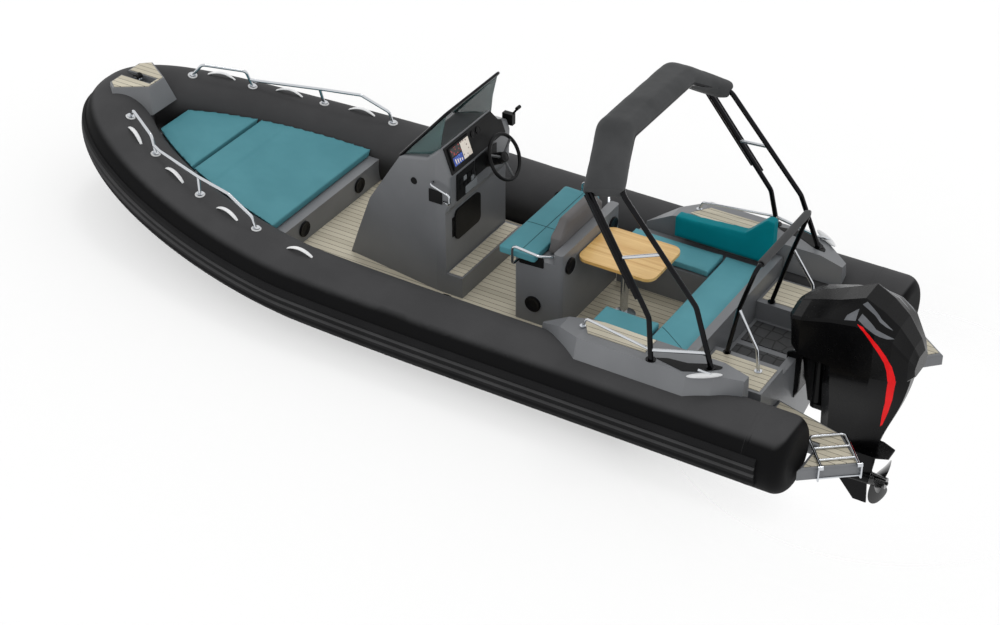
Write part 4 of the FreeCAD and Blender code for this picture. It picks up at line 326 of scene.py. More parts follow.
# %% Cells of the well mats
CELL_MM = 95
JOINT_SHARE = 0.06
tree, shader = cloudy("cell_mat", "#2b2c2d", "#353638", 120, 5, 0.6, 0.6)
place = add(tree, "TexCoord").outputs["Object"]
cells = add(tree, "TexVoronoi", {"feature": "DISTANCE_TO_EDGE", "voronoi_dimensions": "2D",
                                 "Scale": 1 / (CELL_MM * MM), "Randomness": 0.35}, {"Vector": place})
joint = add(tree, "Math", {"operation": "LESS_THAN", 1: JOINT_SHARE}, {0: cells.outputs["Distance"]})
body_colour = shader.inputs["Base Color"].links[0].from_socket
mixed = add(tree, "Mix", {"data_type": "RGBA", 7: linear("#070708")}, {0: joint.outputs[0], 6: body_colour})
tree.links.new(mixed.outputs[2], shader.inputs["Base Color"])
print("mats in", CELL_MM, "mm cells")

# %% [markdown]
# ## Bamboo
# The table top is laminated bamboo: narrow strips of one length glued side by side, each a little
# darker or paler, under satin varnish.

# %% Varnished bamboo
LATH_MM = 21
LATH_CONTRAST = 0.5
FIBRE_STRETCH = (6.0, 160.0, 160.0)
tree, shader = blank_finish("varnished_bamboo", roughness=0.32, coat_weight=0.3, coat_roughness=0.15)
place = add(tree, "TexCoord").outputs["Object"]
parts = add(tree, "SeparateXYZ", (), {0: place})
count = add(tree, "Math", {"operation": "DIVIDE", 1: LATH_MM * MM}, {0: parts.outputs["Y"]})
lath = add(tree, "Math", {"operation": "FLOOR"}, {0: count.outputs[0]})
tone = add(tree, "TexWhiteNoise", {"noise_dimensions": "1D"}, {"W": lath.outputs[0]})
fibre = add(tree, "VectorMath", {"operation": "MULTIPLY", 1: FIBRE_STRETCH}, {0: place})
grain = add(tree, "TexNoise", {"Scale": 1.0, "Detail": 4.0}, {"Vector": fibre.outputs[0]})
shade = add(tree, "Math", {"operation": "MULTIPLY_ADD", 1: LATH_CONTRAST},
            {0: tone.outputs[0], 2: grain.outputs[0]})
ranged = add(tree, "MapRange", {"From Min": 0.4, "From Max": 1.0}, {"Value": shade.outputs[0]})
colour = add(tree, "Mix", {"data_type": "RGBA", 6: linear("#cb9c53"), 7: linear("#e2bc78")},
             {0: ranged.outputs[0]})
bump = add(tree, "Bump", {"Strength": 0.2, "Distance": 0.3 * MM}, {"Height": grain.outputs[0]})
tree.links.new(colour.outputs[2], shader.inputs["Base Color"])
tree.links.new(bump.outputs[0], shader.inputs["Normal"])
print("bamboo in", LATH_MM, "mm laths")

# %% [markdown]
# ## Tinted screen
# The windscreen is a thin smoked acrylic sheet. It is modelled as one closed sheet, so it is given a
# mostly clear shader with a grey-green colour instead of true refraction, which needs clean solids.

# %% Tinted acrylic
SMEAR_MM = 260
TINT = 0.68
tree, shader = blank_finish("tinted_acrylic", roughness=0.04)
place = add(tree, "TexCoord").outputs["Object"]
smear = add(tree, "TexNoise", {"Scale": 1 / (SMEAR_MM * MM), "Detail": 3.0}, {"Vector": place})
tone = add(tree, "Mix", {"data_type": "RGBA", 6: linear("#3f5a5a"), 7: linear("#4e6c6b")},
           {0: smear.outputs[0]})
tree.links.new(tone.outputs[2], shader.inputs["Base Color"])
shader.inputs["Alpha"].default_value = TINT
print("acrylic tint", TINT)

# %% [markdown]
# ## Finishes on the solid parts
# Parts whose shape is already right keep it and only get a finish. One table of part and finish is easier
# to check than a line for each part.

# %% Dress the solid parts
PART_FINISHES = {
    "tube_with_painted_shade": ("tube_port", "tube_starboard"),
    "ribbed_rubber": ("rubbing_strakes",),
    "handle_plastic": ("grab_handles",),
    "grey_gelcoat": ("hull", "transom", "stern_deck", "cockpit_sole", "swim_platforms", "bow_step",
                     "bow_locker", "console", "console_footrest", "helm_seat_base", "stern_seat_base",
                     "coamings"),
    "cell_mat": ("well_mats",),
    "laid_teak": ("teak_treads",),
    "polished_stainless": ("bow_roller_bracket", "bow_rails", "helm_rails", "table_pedestal", "deck_cleats",
                           "coaming_rails", "ladder_bracket", "boarding_ladder"),
    "black_paint": ("roll_bar", "awning_struts", "stern_hoop", "windscreen_rail"),
    "black_plastic": ("anchor_roller", "dash_panel", "navigation_display", "switch_panel", "console_hatch",
                      "console_fittings", "steering_wheel", "helm_column", "throttle_control",
                      "loudspeakers", "hoop_sleeve"),
    "teal_vinyl": ("bow_cushions", "helm_cushion", "helm_backrest", "stern_cushions"),
    "dark_teal_vinyl": ("seat_backrest",),
    "varnished_bamboo": ("table_top",),
    "canvas_cover": ("awning_boot",),
    "tinted_acrylic": ("windscreen",),
    "engine_enamel": ("clamp_bracket", "swivel_bracket", "engine_cowl", "engine_leg"),
    "propeller_enamel": ("propeller",),
}


def dress(piece, finish):
    """Gives a piece one finish in place of any that it has."""
    piece.data.materials.clear()
    piece.data.materials.append(finishes[finish])


for finish, parts in PART_FINISHES.items():
    for part in parts:
        dress(nodes[part], finish)
print("dressed", sum(len(p) for p in PART_FINISHES.values()), "parts")

# %% [markdown]
# ## Making a piece
# Every new piece is shaped as a bmesh, turned into an object at the origin, given one finish and tied to
# the body that it moves with. A few small functions do that, so that the cells below only hold shapes.

# %% Making a piece
SIDES = ((1, "port"), (-1, "starboard"))
MERGE = 0.05 * MM


def piece_from(shape, name, finish, body="boat", smooth=True):
    """An object from a bmesh, with its finish, riding on a body."""
    bmesh.ops.recalc_face_normals(shape, faces=shape.faces)
    for face in shape.faces:
        face.smooth = smooth
    mesh = bpy.data.meshes.new(name)
    shape.to_mesh(mesh)
    shape.free()
    piece = bpy.data.objects.new(name, mesh)
    scene.collection.objects.link(piece)
    mesh.materials.append(finishes[finish])
    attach(piece, body)
    return piece


def turned(profile_mm, steps=28):
    """A closed round shape about Z from half its outline, in millimetres."""
    shape = bmesh.new()
    points = [shape.verts.new((across * MM, 0.0, up * MM)) for across, up in profile_mm]
    for start, end in zip(points, points[1:]):
        shape.edges.new((start, end))
    bmesh.ops.spin(shape, geom=shape.edges[:], angle=math.tau, steps=steps, axis=(0, 0, 1), cent=(0, 0, 0),
                   use_merge=True)
    bmesh.ops.remove_doubles(shape, verts=shape.verts, dist=MERGE)
    return shape


def put(shape, place, outward):
    """Turns a shape's Z to a direction and moves it to a place."""
    turn = Vector(outward).to_track_quat("Z", "Y").to_matrix().to_4x4()
    bmesh.ops.transform(shape, verts=shape.verts, matrix=Matrix.Translation(Vector(place)) @ turn)
    return shape


def box_of(lump):
    """The lowest and highest corners of a lump, which is freed."""
    low, high = (Vector([pick(vert.co[axis] for vert in lump.verts) for axis in range(3)])
                 for pick in (min, max))
    lump.free()
    return low, high


def worked_mesh(piece):
    """The piece's mesh with its modifiers worked out."""
    graph = bpy.context.evaluated_depsgraph_get()
    return bpy.data.meshes.new_from_object(piece.evaluated_get(graph))


def lumps_of(part):
    """The separate solids of a solid part, as merged bmeshes, from stern to bow."""
    whole = bmesh.new()
    whole.from_mesh(nodes[part].data)
    bmesh.ops.remove_doubles(whole, verts=whole.verts, dist=MERGE)
    whole.verts.ensure_lookup_table()
    group = {}
    for start in whole.verts:
        if start.index in group:
            continue
        stack = [start]
        while stack:
            vert = stack.pop()
            if vert.index not in group:
                group[vert.index] = start.index
                stack += [edge.other_vert(vert) for edge in vert.link_edges]
    lumps = []
    for key in sorted(set(group.values()), key=lambda k: whole.verts[k].co.x):
        lump = whole.copy()
        lump.verts.ensure_lookup_table()
        strays = [vert for vert in lump.verts if group[vert.index] != key]
        bmesh.ops.delete(lump, geom=strays, context="VERTS")
        lumps.append(lump)
    whole.free()
    return lumps


print("solids in the bow cushions:", [len(lump.verts) for lump in lumps_of("bow_cushions")])

# %% [markdown]
# ## Stuffed upholstery
# A boat cushion is a foam block in a tight vinyl cover. The foam pushes the cover out in the middle of
# each panel, and the welts hold it in along the edges. It could be drawn with a rounded box, but then
# every edge would be equally soft. Here a cloth skin is blown up from inside instead, which crowns the
# large panels more than the small ones. The movement is capped, so that it stays a firm seat.

# %% Stuffing a cushion
PRESSURE = 4.0
STUFFING_STEPS = 20
CLOTH_QUALITY = 4
UNDERSIDE_SHARE = 0.2
SMOOTHINGS = 3


def stuffed(lump, name, finish, voxel_mm, cap_mm, inset_mm, fill, flat_below=None, finer_levels=1):
    """A cushion blown up from a solid, inset first. Points under flat_below hardly sink."""
    bmesh.ops.recalc_face_normals(lump, faces=lump.faces)
    mesh = bpy.data.meshes.new(name)
    lump.to_mesh(mesh)
    lump.free()
    pad = bpy.data.objects.new(name, mesh)
    scene.collection.objects.link(pad)
    remesh = pad.modifiers.new("voxels", "REMESH")
    remesh.mode = "VOXEL"
    remesh.voxel_size = voxel_mm * MM
    even = worked_mesh(pad)
    pad.modifiers.clear()
    pad.data = even
    even.name = name
    normals = [vert.normal.copy() for vert in even.vertices]
    for vert, normal in zip(even.vertices, normals):
        vert.co -= normal * inset_mm * MM
    rest = [vert.co.copy() for vert in even.vertices]
    cloth = pad.modifiers.new("stuffing", "CLOTH")
    cloth.settings.quality = CLOTH_QUALITY
    cloth.settings.use_pressure = True
    cloth.settings.uniform_pressure_force = PRESSURE
    cloth.settings.effector_weights.gravity = 0.0
    cloth.point_cache.frame_end = STUFFING_STEPS
    for step in range(1, STUFFING_STEPS + 1):
        scene.frame_set(step)
    blown = worked_mesh(pad)
    pad.modifiers.clear()
    scene.frame_set(1)
    for vert, start, end in zip(even.vertices, rest, blown.vertices):
        move = end.co - start
        if move.length > cap_mm * MM:
            move = move.normalized() * cap_mm * MM
        if flat_below is not None and start.z < flat_below:
            move.z = max(move.z, 0.0) * UNDERSIDE_SHARE
        vert.co = start + move
    round_off = bmesh.new()
    round_off.from_mesh(even)
    for _ in range(SMOOTHINGS):
        bmesh.ops.smooth_vert(round_off, verts=round_off.verts, factor=0.5,
                              use_axis_x=True, use_axis_y=True, use_axis_z=True)
    for face in round_off.faces:
        face.smooth = True
    round_off.to_mesh(even)
    round_off.free()
    even.materials.clear()
    even.materials.append(finishes[finish])
    finer = pad.modifiers.new("finer", "SUBSURF")
    finer.levels = finer_levels
    finer.render_levels = finer_levels
    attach(pad, "boat")
    return pad


def upholstered(part, name, finish, **measures):
    """Stuffs every solid of a part. The pads take the part's place."""
    lumps = lumps_of(part)
    pads = []
    for number, lump in enumerate(lumps, 1):
        pad = stuffed(lump, f"{name}_{number}" if len(lumps) > 1 else name, finish, **measures)
        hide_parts(part)
        pads.append(pad)
    print(name, [len(pad.data.vertices) for pad in pads], "points")
    return pads


upholstered("bow_cushions", "bow_pad", "teal_vinyl", voxel_mm=11, cap_mm=10, inset_mm=5, fill=0.85,
            flat_below=0.56, finer_levels=0)

# %% [markdown]
# ## Seats at the stern
# Three pads make a U round the table. The long one lies along the back and the other two butt against
# it, so each is stuffed on its own and they meet in real seams.

# %% Stern seat pads
# The stern pads take the paler teal, which is painted light over the same vinyl.
seat_pads = upholstered("stern_cushions", "stern_pad", "stern_teal_painted_light", voxel_mm=13, cap_mm=9, inset_mm=5,
                        fill=0.85, flat_below=0.50)
upholstered("seat_backrest", "stern_backrest", "dark_teal_vinyl", voxel_mm=10, cap_mm=8, inset_mm=5,
            fill=0.85)

# %% [markdown]
# ## Helm seat
# The bench for two at the helm is one long thin pad. Its backrest is covered in dark grey vinyl and not
# in the teal of the seats.

# %% Helm pads
helm_pads = upholstered("helm_cushion", "helm_pad", "teal_vinyl", voxel_mm=9, cap_mm=7, inset_mm=4, fill=0.8)
upholstered("helm_backrest", "helm_back_pad", "grey_vinyl", voxel_mm=10, cap_mm=9, inset_mm=5, fill=0.85)

# %% [markdown]
# ## Seams
# Where two panels of vinyl are sewn together the thread pulls them into a narrow groove, and the shade in
# that groove reads as a dark line. A thin dark cord pressed half into the pad paints that shade from every
# side. Its points are dropped onto the finished pad, so it follows the crown.

# %% Sewing seams
STITCH_MM = 12
STITCH_PROUD_MM = 0.3


def cord_mesh(points, radius):
    """A smooth round cord through points, as a bmesh."""
    line = bpy.data.curves.new("cord", "CURVE")
    line.dimensions = "3D"
    line.bevel_depth = radius
    line.bevel_resolution = 2
    line.use_fill_caps = True
    spline = line.splines.new("POLY")
    spline.points.add(len(points) - 1)
    for slot_point, point in zip(spline.points, points):
        slot_point.co = (*point, 1.0)
    holder = bpy.data.objects.new("cord", line)
    scene.collection.objects.link(holder)
    shape = bmesh.new()
    shape.from_mesh(worked_mesh(holder))
    bpy.data.objects.remove(holder)
    return shape


def tree_of(*pieces):
    """A search tree of the finished surfaces of some pieces."""
    whole = bmesh.new()
    for one in pieces:
        whole.from_mesh(worked_mesh(one))
    return BVHTree.FromBMesh(whole)


def sewn(name, pad, start, end, radius_mm=3.0):
    """A straight seam, dropped onto a pad from above."""
    surface = tree_of(pad)
    start, end, down = Vector((*start, 1.0)), Vector((*end, 1.0)), Vector((0, 0, -1))
    count = max(2, int((end - start).length / (STITCH_MM * MM)))
    points = []
    for step in range(count + 1):
        hit = surface.ray_cast(start + (end - start) * step / count, down)[0]
        if hit is not None:
            points.append(hit - down * STITCH_PROUD_MM * MM)
    piece_from(cord_mesh(points, radius_mm * MM), name, "seam_groove_shade")


sewn("helm_seam_long", helm_pads[0], (2.035, 0.47), (2.035, -0.47))
sewn("helm_seam_cross", helm_pads[0], (2.195, 0.10), (1.92, 0.10))
sewn("seat_seam_mitre", seat_pads[0], (0.62, 0.62), (0.90, 0.42), radius_mm=2.5)
print("seams sewn")

# %% [markdown]
# ## Awning boot and hoop pad
# The folded awning lies in a canvas boot along the top of the arch. Its bundle of cloth and hoops shows
# as slow lumps under the canvas. The stern hoop's top bar has a foam pad against knocks.

# %% Boot and pad
LUMP_SIZE = 0.16
LUMP_MM = 7
LUMP_MIDDLE = 0.6
boots = upholstered("awning_boot", "canvas_boot", "canvas_cover", voxel_mm=13, cap_mm=8, inset_mm=5, fill=0.6)
lumpy = boots[0].modifiers.new("bundle", "DISPLACE")
bundle = bpy.data.textures.new("bundle", "CLOUDS")
bundle.noise_scale = LUMP_SIZE
lumpy.texture = bundle
lumpy.texture_coords = "LOCAL"
lumpy.strength = LUMP_MM * MM
lumpy.mid_level = LUMP_MIDDLE
upholstered("hoop_sleeve", "hoop_pad", "canvas_cover", voxel_mm=6, cap_mm=3, inset_mm=1.5, fill=0.8)

# %% [markdown]
# ## Two finishes on one moulding
# The cockpit floor, the strakes, the roll bar and the hoop are single parts that carry two finishes: teak
# laid on gelcoat, a painted highlight in paler grey on the upward-sloping faces of the rubber's ribs, or
# bright rungs and braces between black legs.
# A second material slot and a choice of faces does this without a new piece.

# %% Patching faces
FLAT = 0.98
RIB_LOW, RIB_HIGH = 0.45, 0.85
RUNGS = ((0.785, 0.965), (1.36, 1.42))
BRACES = ((0.375, 0.675), (0.74, 0.84))
HOOP_STAYS = ((-1.0, 0.30), (0.0, 0.88))


def between(place, limits):
    """Whether a place lies between two distances along X and two heights."""
    return all(low < value < high for value, (low, high) in zip((place.x, place.z), limits))


def patch(part, finish, chosen):
    """Gives a second finish to the faces of a solid part that chosen picks by middle and direction."""
    mesh = nodes[part].data
    mesh.materials.append(finishes[finish])
    count = 0
    for face in mesh.polygons:
        if chosen(face.center, face.normal):
            face.material_index = len(mesh.materials) - 1
            count += 1
    print(part, finish, count, "faces")


sole_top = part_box("cockpit_sole")[1].z - 2 * MM
patch("cockpit_sole", "laid_teak", lambda middle, normal: normal.z > FLAT and middle.z > sole_top)
# Painted highlight: rib faces that slope upward get the paler grey.
patch("rubbing_strakes", "rib_painted_highlight", lambda middle, normal: RIB_LOW < normal.z < RIB_HIGH)
patch("roll_bar", "polished_stainless",
      lambda middle, normal: between(middle, RUNGS) or between(middle, BRACES))
patch("stern_hoop", "polished_stainless", lambda middle, normal: between(middle, HOOP_STAYS))

# %% [markdown]
# ## Plates
# Screens, lids, lenses and inlays are thin plates with rounded corners and a softened rim. Each starts
# as one face from its corners, the corners are bevelled as points, the face is drawn out to its thickness
# and its outer rim is bevelled as edges.

# %% Rounded plates
CORNER_STEPS = 5
RIM_STEPS = 2


def draw_out(shape, move):
    """Draws a flat shape out into a closed one and gives the faces that moved."""
    grown = bmesh.ops.extrude_face_region(shape, geom=shape.faces[:])["geom"]
    moved = [part for part in grown if isinstance(part, bmesh.types.BMVert)]
    bmesh.ops.translate(shape, verts=moved, vec=move)
    return [part for part in grown if isinstance(part, bmesh.types.BMFace)]


def plate_shape(corners, thickness_mm, round_mm=0.0, rim_mm=0.0):
    """A plate from its outline. It grows to the side from which the outline runs anticlockwise."""
    shape = bmesh.new()
    face = shape.faces.new([shape.verts.new(Vector(corner)) for corner in corners])
    shape.normal_update()
    outward = face.normal.copy()
    if round_mm:
        bmesh.ops.bevel(shape, geom=shape.verts[:], offset=round_mm * MM, segments=CORNER_STEPS, profile=0.5,
                        affect="VERTICES", material=-1)
    front = draw_out(shape, outward * thickness_mm * MM)
    if rim_mm:
        rim = list({edge for one in front for edge in one.edges if len(edge.link_faces) == 2})
        bmesh.ops.bevel(shape, geom=rim, offset=rim_mm * MM, segments=RIM_STEPS, profile=0.5, affect="EDGES",
                        material=-1)
    return shape


DASH_TOP = Vector((2.735, 0.0, 1.435))
DASH_LOW = Vector((2.655, 0.0, 1.215))
DASH_OUT = Vector((-(DASH_TOP.z - DASH_LOW.z), 0.0, DASH_TOP.x - DASH_LOW.x)).normalized()
print("dash leans", round(math.degrees(math.asin(DASH_OUT.z)), 1), "degrees")


def on_dash(across, height, proud_mm=0.0):
    """A place on the sloping dash at a height, standing proud of it."""
    share = (height - DASH_LOW.z) / (DASH_TOP.z - DASH_LOW.z)
    spot = DASH_LOW + (DASH_TOP - DASH_LOW) * share + DASH_OUT * proud_mm * MM
    return Vector((spot.x, across, spot.z))


def dash_plate(name, low_y, high_y, low_z, high_z, base_mm, thick_mm, round_mm, finish, rim_mm=0.8):
    """A plate on the dash between two distances across and two heights."""
    corners = [on_dash(low_y, low_z, base_mm), on_dash(low_y, high_z, base_mm),
               on_dash(high_y, high_z, base_mm), on_dash(high_y, low_z, base_mm)]
    return piece_from(plate_shape(corners, thick_mm, round_mm, rim_mm), name, finish, smooth=False)


# %% [markdown]
# ## Navigation screen
# The screen is a glass-fronted display in a black bezel, showing a chart beside two engine pages. Its
# pages are drawn as plain blocks and bars: a pale chart, a dark page with a red sweep, and a blue one.

# %% Glowing display pages
def display_page(name, base, spot, cell_mm, share, glow):
    """A lit page of one ground colour with soft patches of a second."""
    tree, shader = blank_finish(name, roughness=0.12, specular_ior_level=0.5)
    place = add(tree, "TexCoord").outputs["Object"]
    blot = add(tree, "TexVoronoi", {"Scale": 1 / (cell_mm * MM)}, {"Vector": place})
    shown = add(tree, "Math", {"operation": "LESS_THAN", 1: share}, {0: blot.outputs["Distance"]})
    colour = add(tree, "Mix", {"data_type": "RGBA", 6: linear(base), 7: linear(spot)},
                 {0: shown.outputs[0]})
    tree.links.new(colour.outputs[2], shader.inputs["Base Color"])
    tree.links.new(colour.outputs[2], shader.inputs["Emission Color"])
    shader.inputs["Emission Strength"].default_value = glow


display_page("chart_page", "#cfc6bb", "#8d7f78", 26, 0.28, 0.25)
display_page("gauge_page", "#1a1214", "#a32a2a", 20, 0.30, 0.2)
display_page("sounder_page", "#1c3f96", "#4f7fd0", 15, 0.30, 0.25)
display_page("grey_keys", "#7d8184", "#8a8e91", 12, 0.20, 0.0)
dash_plate("screen_bezel", 0.100, 0.366, 1.250, 1.404, 16.5, 3, 8, "black_plastic")
dash_plate("screen_chart", 0.112, 0.224, 1.264, 1.392, 19.0, 1, 2, "chart_page")
dash_plate("screen_gauge", 0.230, 0.352, 1.332, 1.392, 19.0, 1, 2, "gauge_page")
dash_plate("screen_sounder", 0.230, 0.352, 1.264, 1.326, 19.0, 1, 2, "sounder_page")
BARS, BAR_WIDTH, BAR_STEP, BAR_GROWTH = 4, 0.012, 0.026, 0.007
for number in range(BARS):
    left = 0.242 + number * BAR_STEP
    dash_plate(f"screen_bar_{number + 1}", left, left + BAR_WIDTH, 1.272, 1.290 + BAR_GROWTH * number, 20.0,
               0.6, 0, "chart_page", rim_mm=0)
print("screen lit with", BARS, "bars")

# %% [markdown]
# ## Switch panel and gauges
# Below the screen a black panel carries rocker switches and a small grey keypad. To starboard of the
# screen two round gauges look at the helm from the same dash.

# %% Switches and gauges
SEAT_GAP = 0.3 * MM
ROCKER, ROCKER_STEP = 0.036, 0.052
GREY_ROCKERS = ((0, 2), (1, 0))
GAUGE_MM, GAUGE_Z, PROUD_MM = 26, 1.372, 7.8


def helm_face_plate(name, low_y, high_y, low_z, high_z, thick_mm, round_mm, finish):
    """A plate on the upright face below the dash."""
    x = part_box("switch_panel")[0].x - SEAT_GAP
    corners = [(x, low_y, low_z), (x, low_y, high_z), (x, high_y, high_z), (x, high_y, low_z)]
    shape = plate_shape(corners, thick_mm, round_mm, min(1.0, thick_mm / 3))
    return piece_from(shape, name, finish, smooth=False)


helm_face_plate("helm_fascia", -0.210, 0.090, 1.060, 1.206, 2, 10, "black_plastic")
for row in range(2):
    for column in range(4):
        left = 0.116 + column * ROCKER_STEP
        top = 1.146 - row * ROCKER_STEP
        helm_face_plate(f"rocker_{row + 1}_{column + 1}", left, left + ROCKER, top - ROCKER, top, 5, 4,
                        "grey_keys" if (row, column) in GREY_ROCKERS else "black_plastic")
helm_face_plate("keypad", 0.075, 0.232, 0.985, 1.050, 4, 6, "grey_keys")


def round_gauge(name, across):
    """A gauge with a rim and a raised glass, facing out of the dash."""
    shape = bmesh.new()
    bmesh.ops.create_circle(shape, cap_ends=True, segments=32, radius=GAUGE_MM * MM)
    front = draw_out(shape, Vector((0, 0, 7 * MM)))
    bmesh.ops.inset_region(shape, faces=front, thickness=5 * MM, depth=-2 * MM)
    bmesh.ops.inset_region(shape, faces=front, thickness=GAUGE_MM * 0.5 * MM, depth=1 * MM)
    piece_from(put(shape, on_dash(across, GAUGE_Z, PROUD_MM), DASH_OUT), name, "black_plastic", smooth=False)


round_gauge("gauge_port", 0.035)
round_gauge("gauge_starboard", -0.035)
print("switches and gauges fitted")

# %% [markdown]
# ## Wheel
# A sports wheel has a thick soft rim, flat grey spokes and a grooved cap on its boss. The solid wheel
# gives the rim and spokes their places, and the cap is turned on its own.

# %% Wheel cap
WHEEL_RAKE = math.radians(28)
WHEEL_CENTRE = sum(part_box("steering_wheel"), Vector()) / 2
WHEEL_AXIS = Vector((-math.cos(WHEEL_RAKE), 0.0, math.sin(WHEEL_RAKE)))
SPOKES = (0.045, 0.135)
cap = turned([(0.0, 6.0), (24.0, 5.0), (30.0, 1.0), (34.0, 4.0), (38.0, 4.0), (40.0, -4.0)], 36)
put(cap, WHEEL_CENTRE + WHEEL_AXIS * 4 * MM, WHEEL_AXIS)
piece_from(cap, "wheel_cap", "black_plastic", body="wheel")
patch("steering_wheel", "spoke_grey",
      lambda middle, normal: SPOKES[0] < (middle - WHEEL_CENTRE).length < SPOKES[1])
print("wheel at", [round(v, 3) for v in WHEEL_CENTRE])

# %% [markdown]
# ## Hatch, socket and speakers
# The console's locker hatch, the socket in its side and the loudspeakers are black mouldings, and only the
# grab rail among the console's fittings is bright. A ring of gloss trim is laid on each speaker's rim, and a
# flat black plate is laid on the helm seat's port side.

# %% Speaker rings and seat plate
WIRE_MM = 3.5
RING_INSET_MM = 6
patch("console_fittings", "polished_stainless", lambda middle, normal: middle.y > 0.436 and middle.x < 2.82
      and (middle.y > 0.446 or middle.z > 1.12))


def ring(name, centre, normal, radius_mm):
    """A gloss black ring square to a direction."""
    shape = bmesh.new()
    section = bmesh.ops.create_circle(shape, segments=10, radius=WIRE_MM * MM)["verts"]
    bmesh.ops.transform(shape, verts=section, matrix=Matrix.Translation((radius_mm * MM, 0, 0))
                        @ Matrix.Rotation(math.pi / 2, 4, "X"))
    bmesh.ops.spin(shape, geom=shape.edges[:], angle=math.tau, steps=40, axis=(0, 0, 1), cent=(0, 0, 0),
                   use_merge=True)
    bmesh.ops.remove_doubles(shape, verts=shape.verts, dist=MERGE)
    piece_from(put(shape, centre, normal), name, "black_paint")


for number, lump in enumerate(lumps_of("loudspeakers"), 1):
    low, high = box_of(lump)
    middle, size = (low + high) / 2, high - low
    facing = Vector((0, 1, 0)) if size.y < size.x else Vector((-1, 0, 0))
    front = middle + facing * min(size.x, size.y) / 2
    ring(f"speaker_ring_{number}", front, facing, max(size) / 2 / MM - RING_INSET_MM)
seat_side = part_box("helm_seat_base")[1].y + SEAT_GAP
seat_plate = [(2.070, seat_side, 0.690), (1.865, seat_side, 0.700), (1.865, seat_side, 0.790),
          (2.070, seat_side, 0.785)]
piece_from(plate_shape(seat_plate, 3.0, 12, 1.0), "seat_black_plate", "black_plastic", smooth=False)
print("speakers ringed, pocket set")

# %% [markdown]
# ## Engine panels
# An outboard's cowl is a gloss black moulding, and its maker's colours are thin panels and tapes stuck
# to it. Here they are plain grey facets and one red line that runs down the flank. A flat outline laid
# beside the cowl is cut into small faces, and each point is then thrown onto the cowl, so the panel
# takes its shape.

# %% Panels laid on the cowl
engine_skin = tree_of(nodes["engine_cowl"], nodes["engine_leg"])
TAPE_MM = 1.6
TAPE_LIFT_MM = 0.6
TAPE_FACE_MM = 7
TAPE_HALVINGS = 7


def taped(name, outline, side, finish):
    """A thin panel from an outline in the upright lengthwise plane, thrown onto the engine's flank."""
    shape = bmesh.new()
    shape.faces.new([shape.verts.new((x, side * 0.5, z)) for x, z in outline])
    bmesh.ops.triangulate(shape, faces=shape.faces[:])
    for _ in range(TAPE_HALVINGS):
        long = [edge for edge in shape.edges if edge.calc_length() > TAPE_FACE_MM * MM]
        if long:
            bmesh.ops.subdivide_edges(shape, edges=long, cuts=1)
            bmesh.ops.triangulate(shape, faces=shape.faces[:])
    missed = []
    for vert in shape.verts:
        hit = engine_skin.ray_cast(vert.co, Vector((0, -side, 0)))[0]
        if hit is None:
            missed.append(vert)
        else:
            vert.co = hit + Vector((0, side * TAPE_LIFT_MM * MM, 0))
    bmesh.ops.delete(shape, geom=missed, context="VERTS")
    bmesh.ops.recalc_face_normals(shape, faces=shape.faces)
    draw_out(shape, Vector((0, side * TAPE_MM * MM, 0)))
    return piece_from(shape, name, finish, body="engine", smooth=False)


TAPES = {
    "red_line_high": ("red_tape", [
        (-0.469, 0.941), (-0.519, 0.902), (-0.572, 0.844), (-0.637, 0.758), (-0.683, 0.684), (-0.704, 0.617),
        (-0.718, 0.523), (-0.766, 0.523), (-0.757, 0.577), (-0.734, 0.664), (-0.695, 0.737), (-0.632, 0.820),
        (-0.568, 0.885), (-0.513, 0.930)]),
    "red_line_low": ("red_tape", [
        (-0.695, 0.512), (-0.687, 0.392), (-0.679, 0.272), (-0.657, 0.129), (-0.646, 0.010), (-0.660, 0.025),
        (-0.696, 0.160), (-0.722, 0.292), (-0.735, 0.424), (-0.744, 0.512)]),
    "panel_low": ("panel_grey", [(-0.369, 0.935), (-0.376, 0.959), (-0.443, 1.011), (-0.450, 0.954)]),
    "panel_side": ("panel_grey", [
        (-0.464, 0.962), (-0.475, 0.993), (-0.722, 0.871), (-0.635, 0.892), (-0.536, 0.930)]),
    "panel_sliver": ("panel_grey", [
        (-0.456, 1.038), (-0.478, 1.052), (-0.580, 0.987), (-0.691, 0.907), (-0.648, 0.930),
        (-0.556, 0.988)]),
}
for side, word in SIDES:
    for name, (finish, outline) in TAPES.items():
        taped(f"{name}_{word}", outline, side, finish)
print("panels on the cowl:", 2 * len(TAPES))

# %% [markdown]
# ## Water near the engine
# The floor is clearer close to the transom than it is elsewhere, because the leg and the propeller hang
# under the water there and are the only deep parts that stand clear of the hull.

# %% Clear the water at the stern
ENGINE_PLACE = (-0.62, 0.0, 0.0)
CLEAR_REACH, BLEND_REACH = 1.0, 1.9
tree = finishes["studio_floor"].node_tree
place = add(tree, "NewGeometry").outputs["Position"]
reach = add(tree, "VectorMath", {"operation": "DISTANCE", 1: ENGINE_PLACE}, {0: place})
clearness = add(tree, "MapRange", {"From Min": CLEAR_REACH, "From Max": BLEND_REACH, "To Min": 1.0,
                                   "To Max": FLOOR_CLEAR}, {"Value": reach.outputs["Value"]})
tree.links.new(clearness.outputs[0], half.inputs[0])
print("water cleared round the engine")

# %% [markdown]
# ## Feet of the rails
# Each rail stands on the tubes by a round moulded pad, glued down and stepped up to the rail. Its half
# outline is turned once for every foot and put under it, square to the tube's own surface.

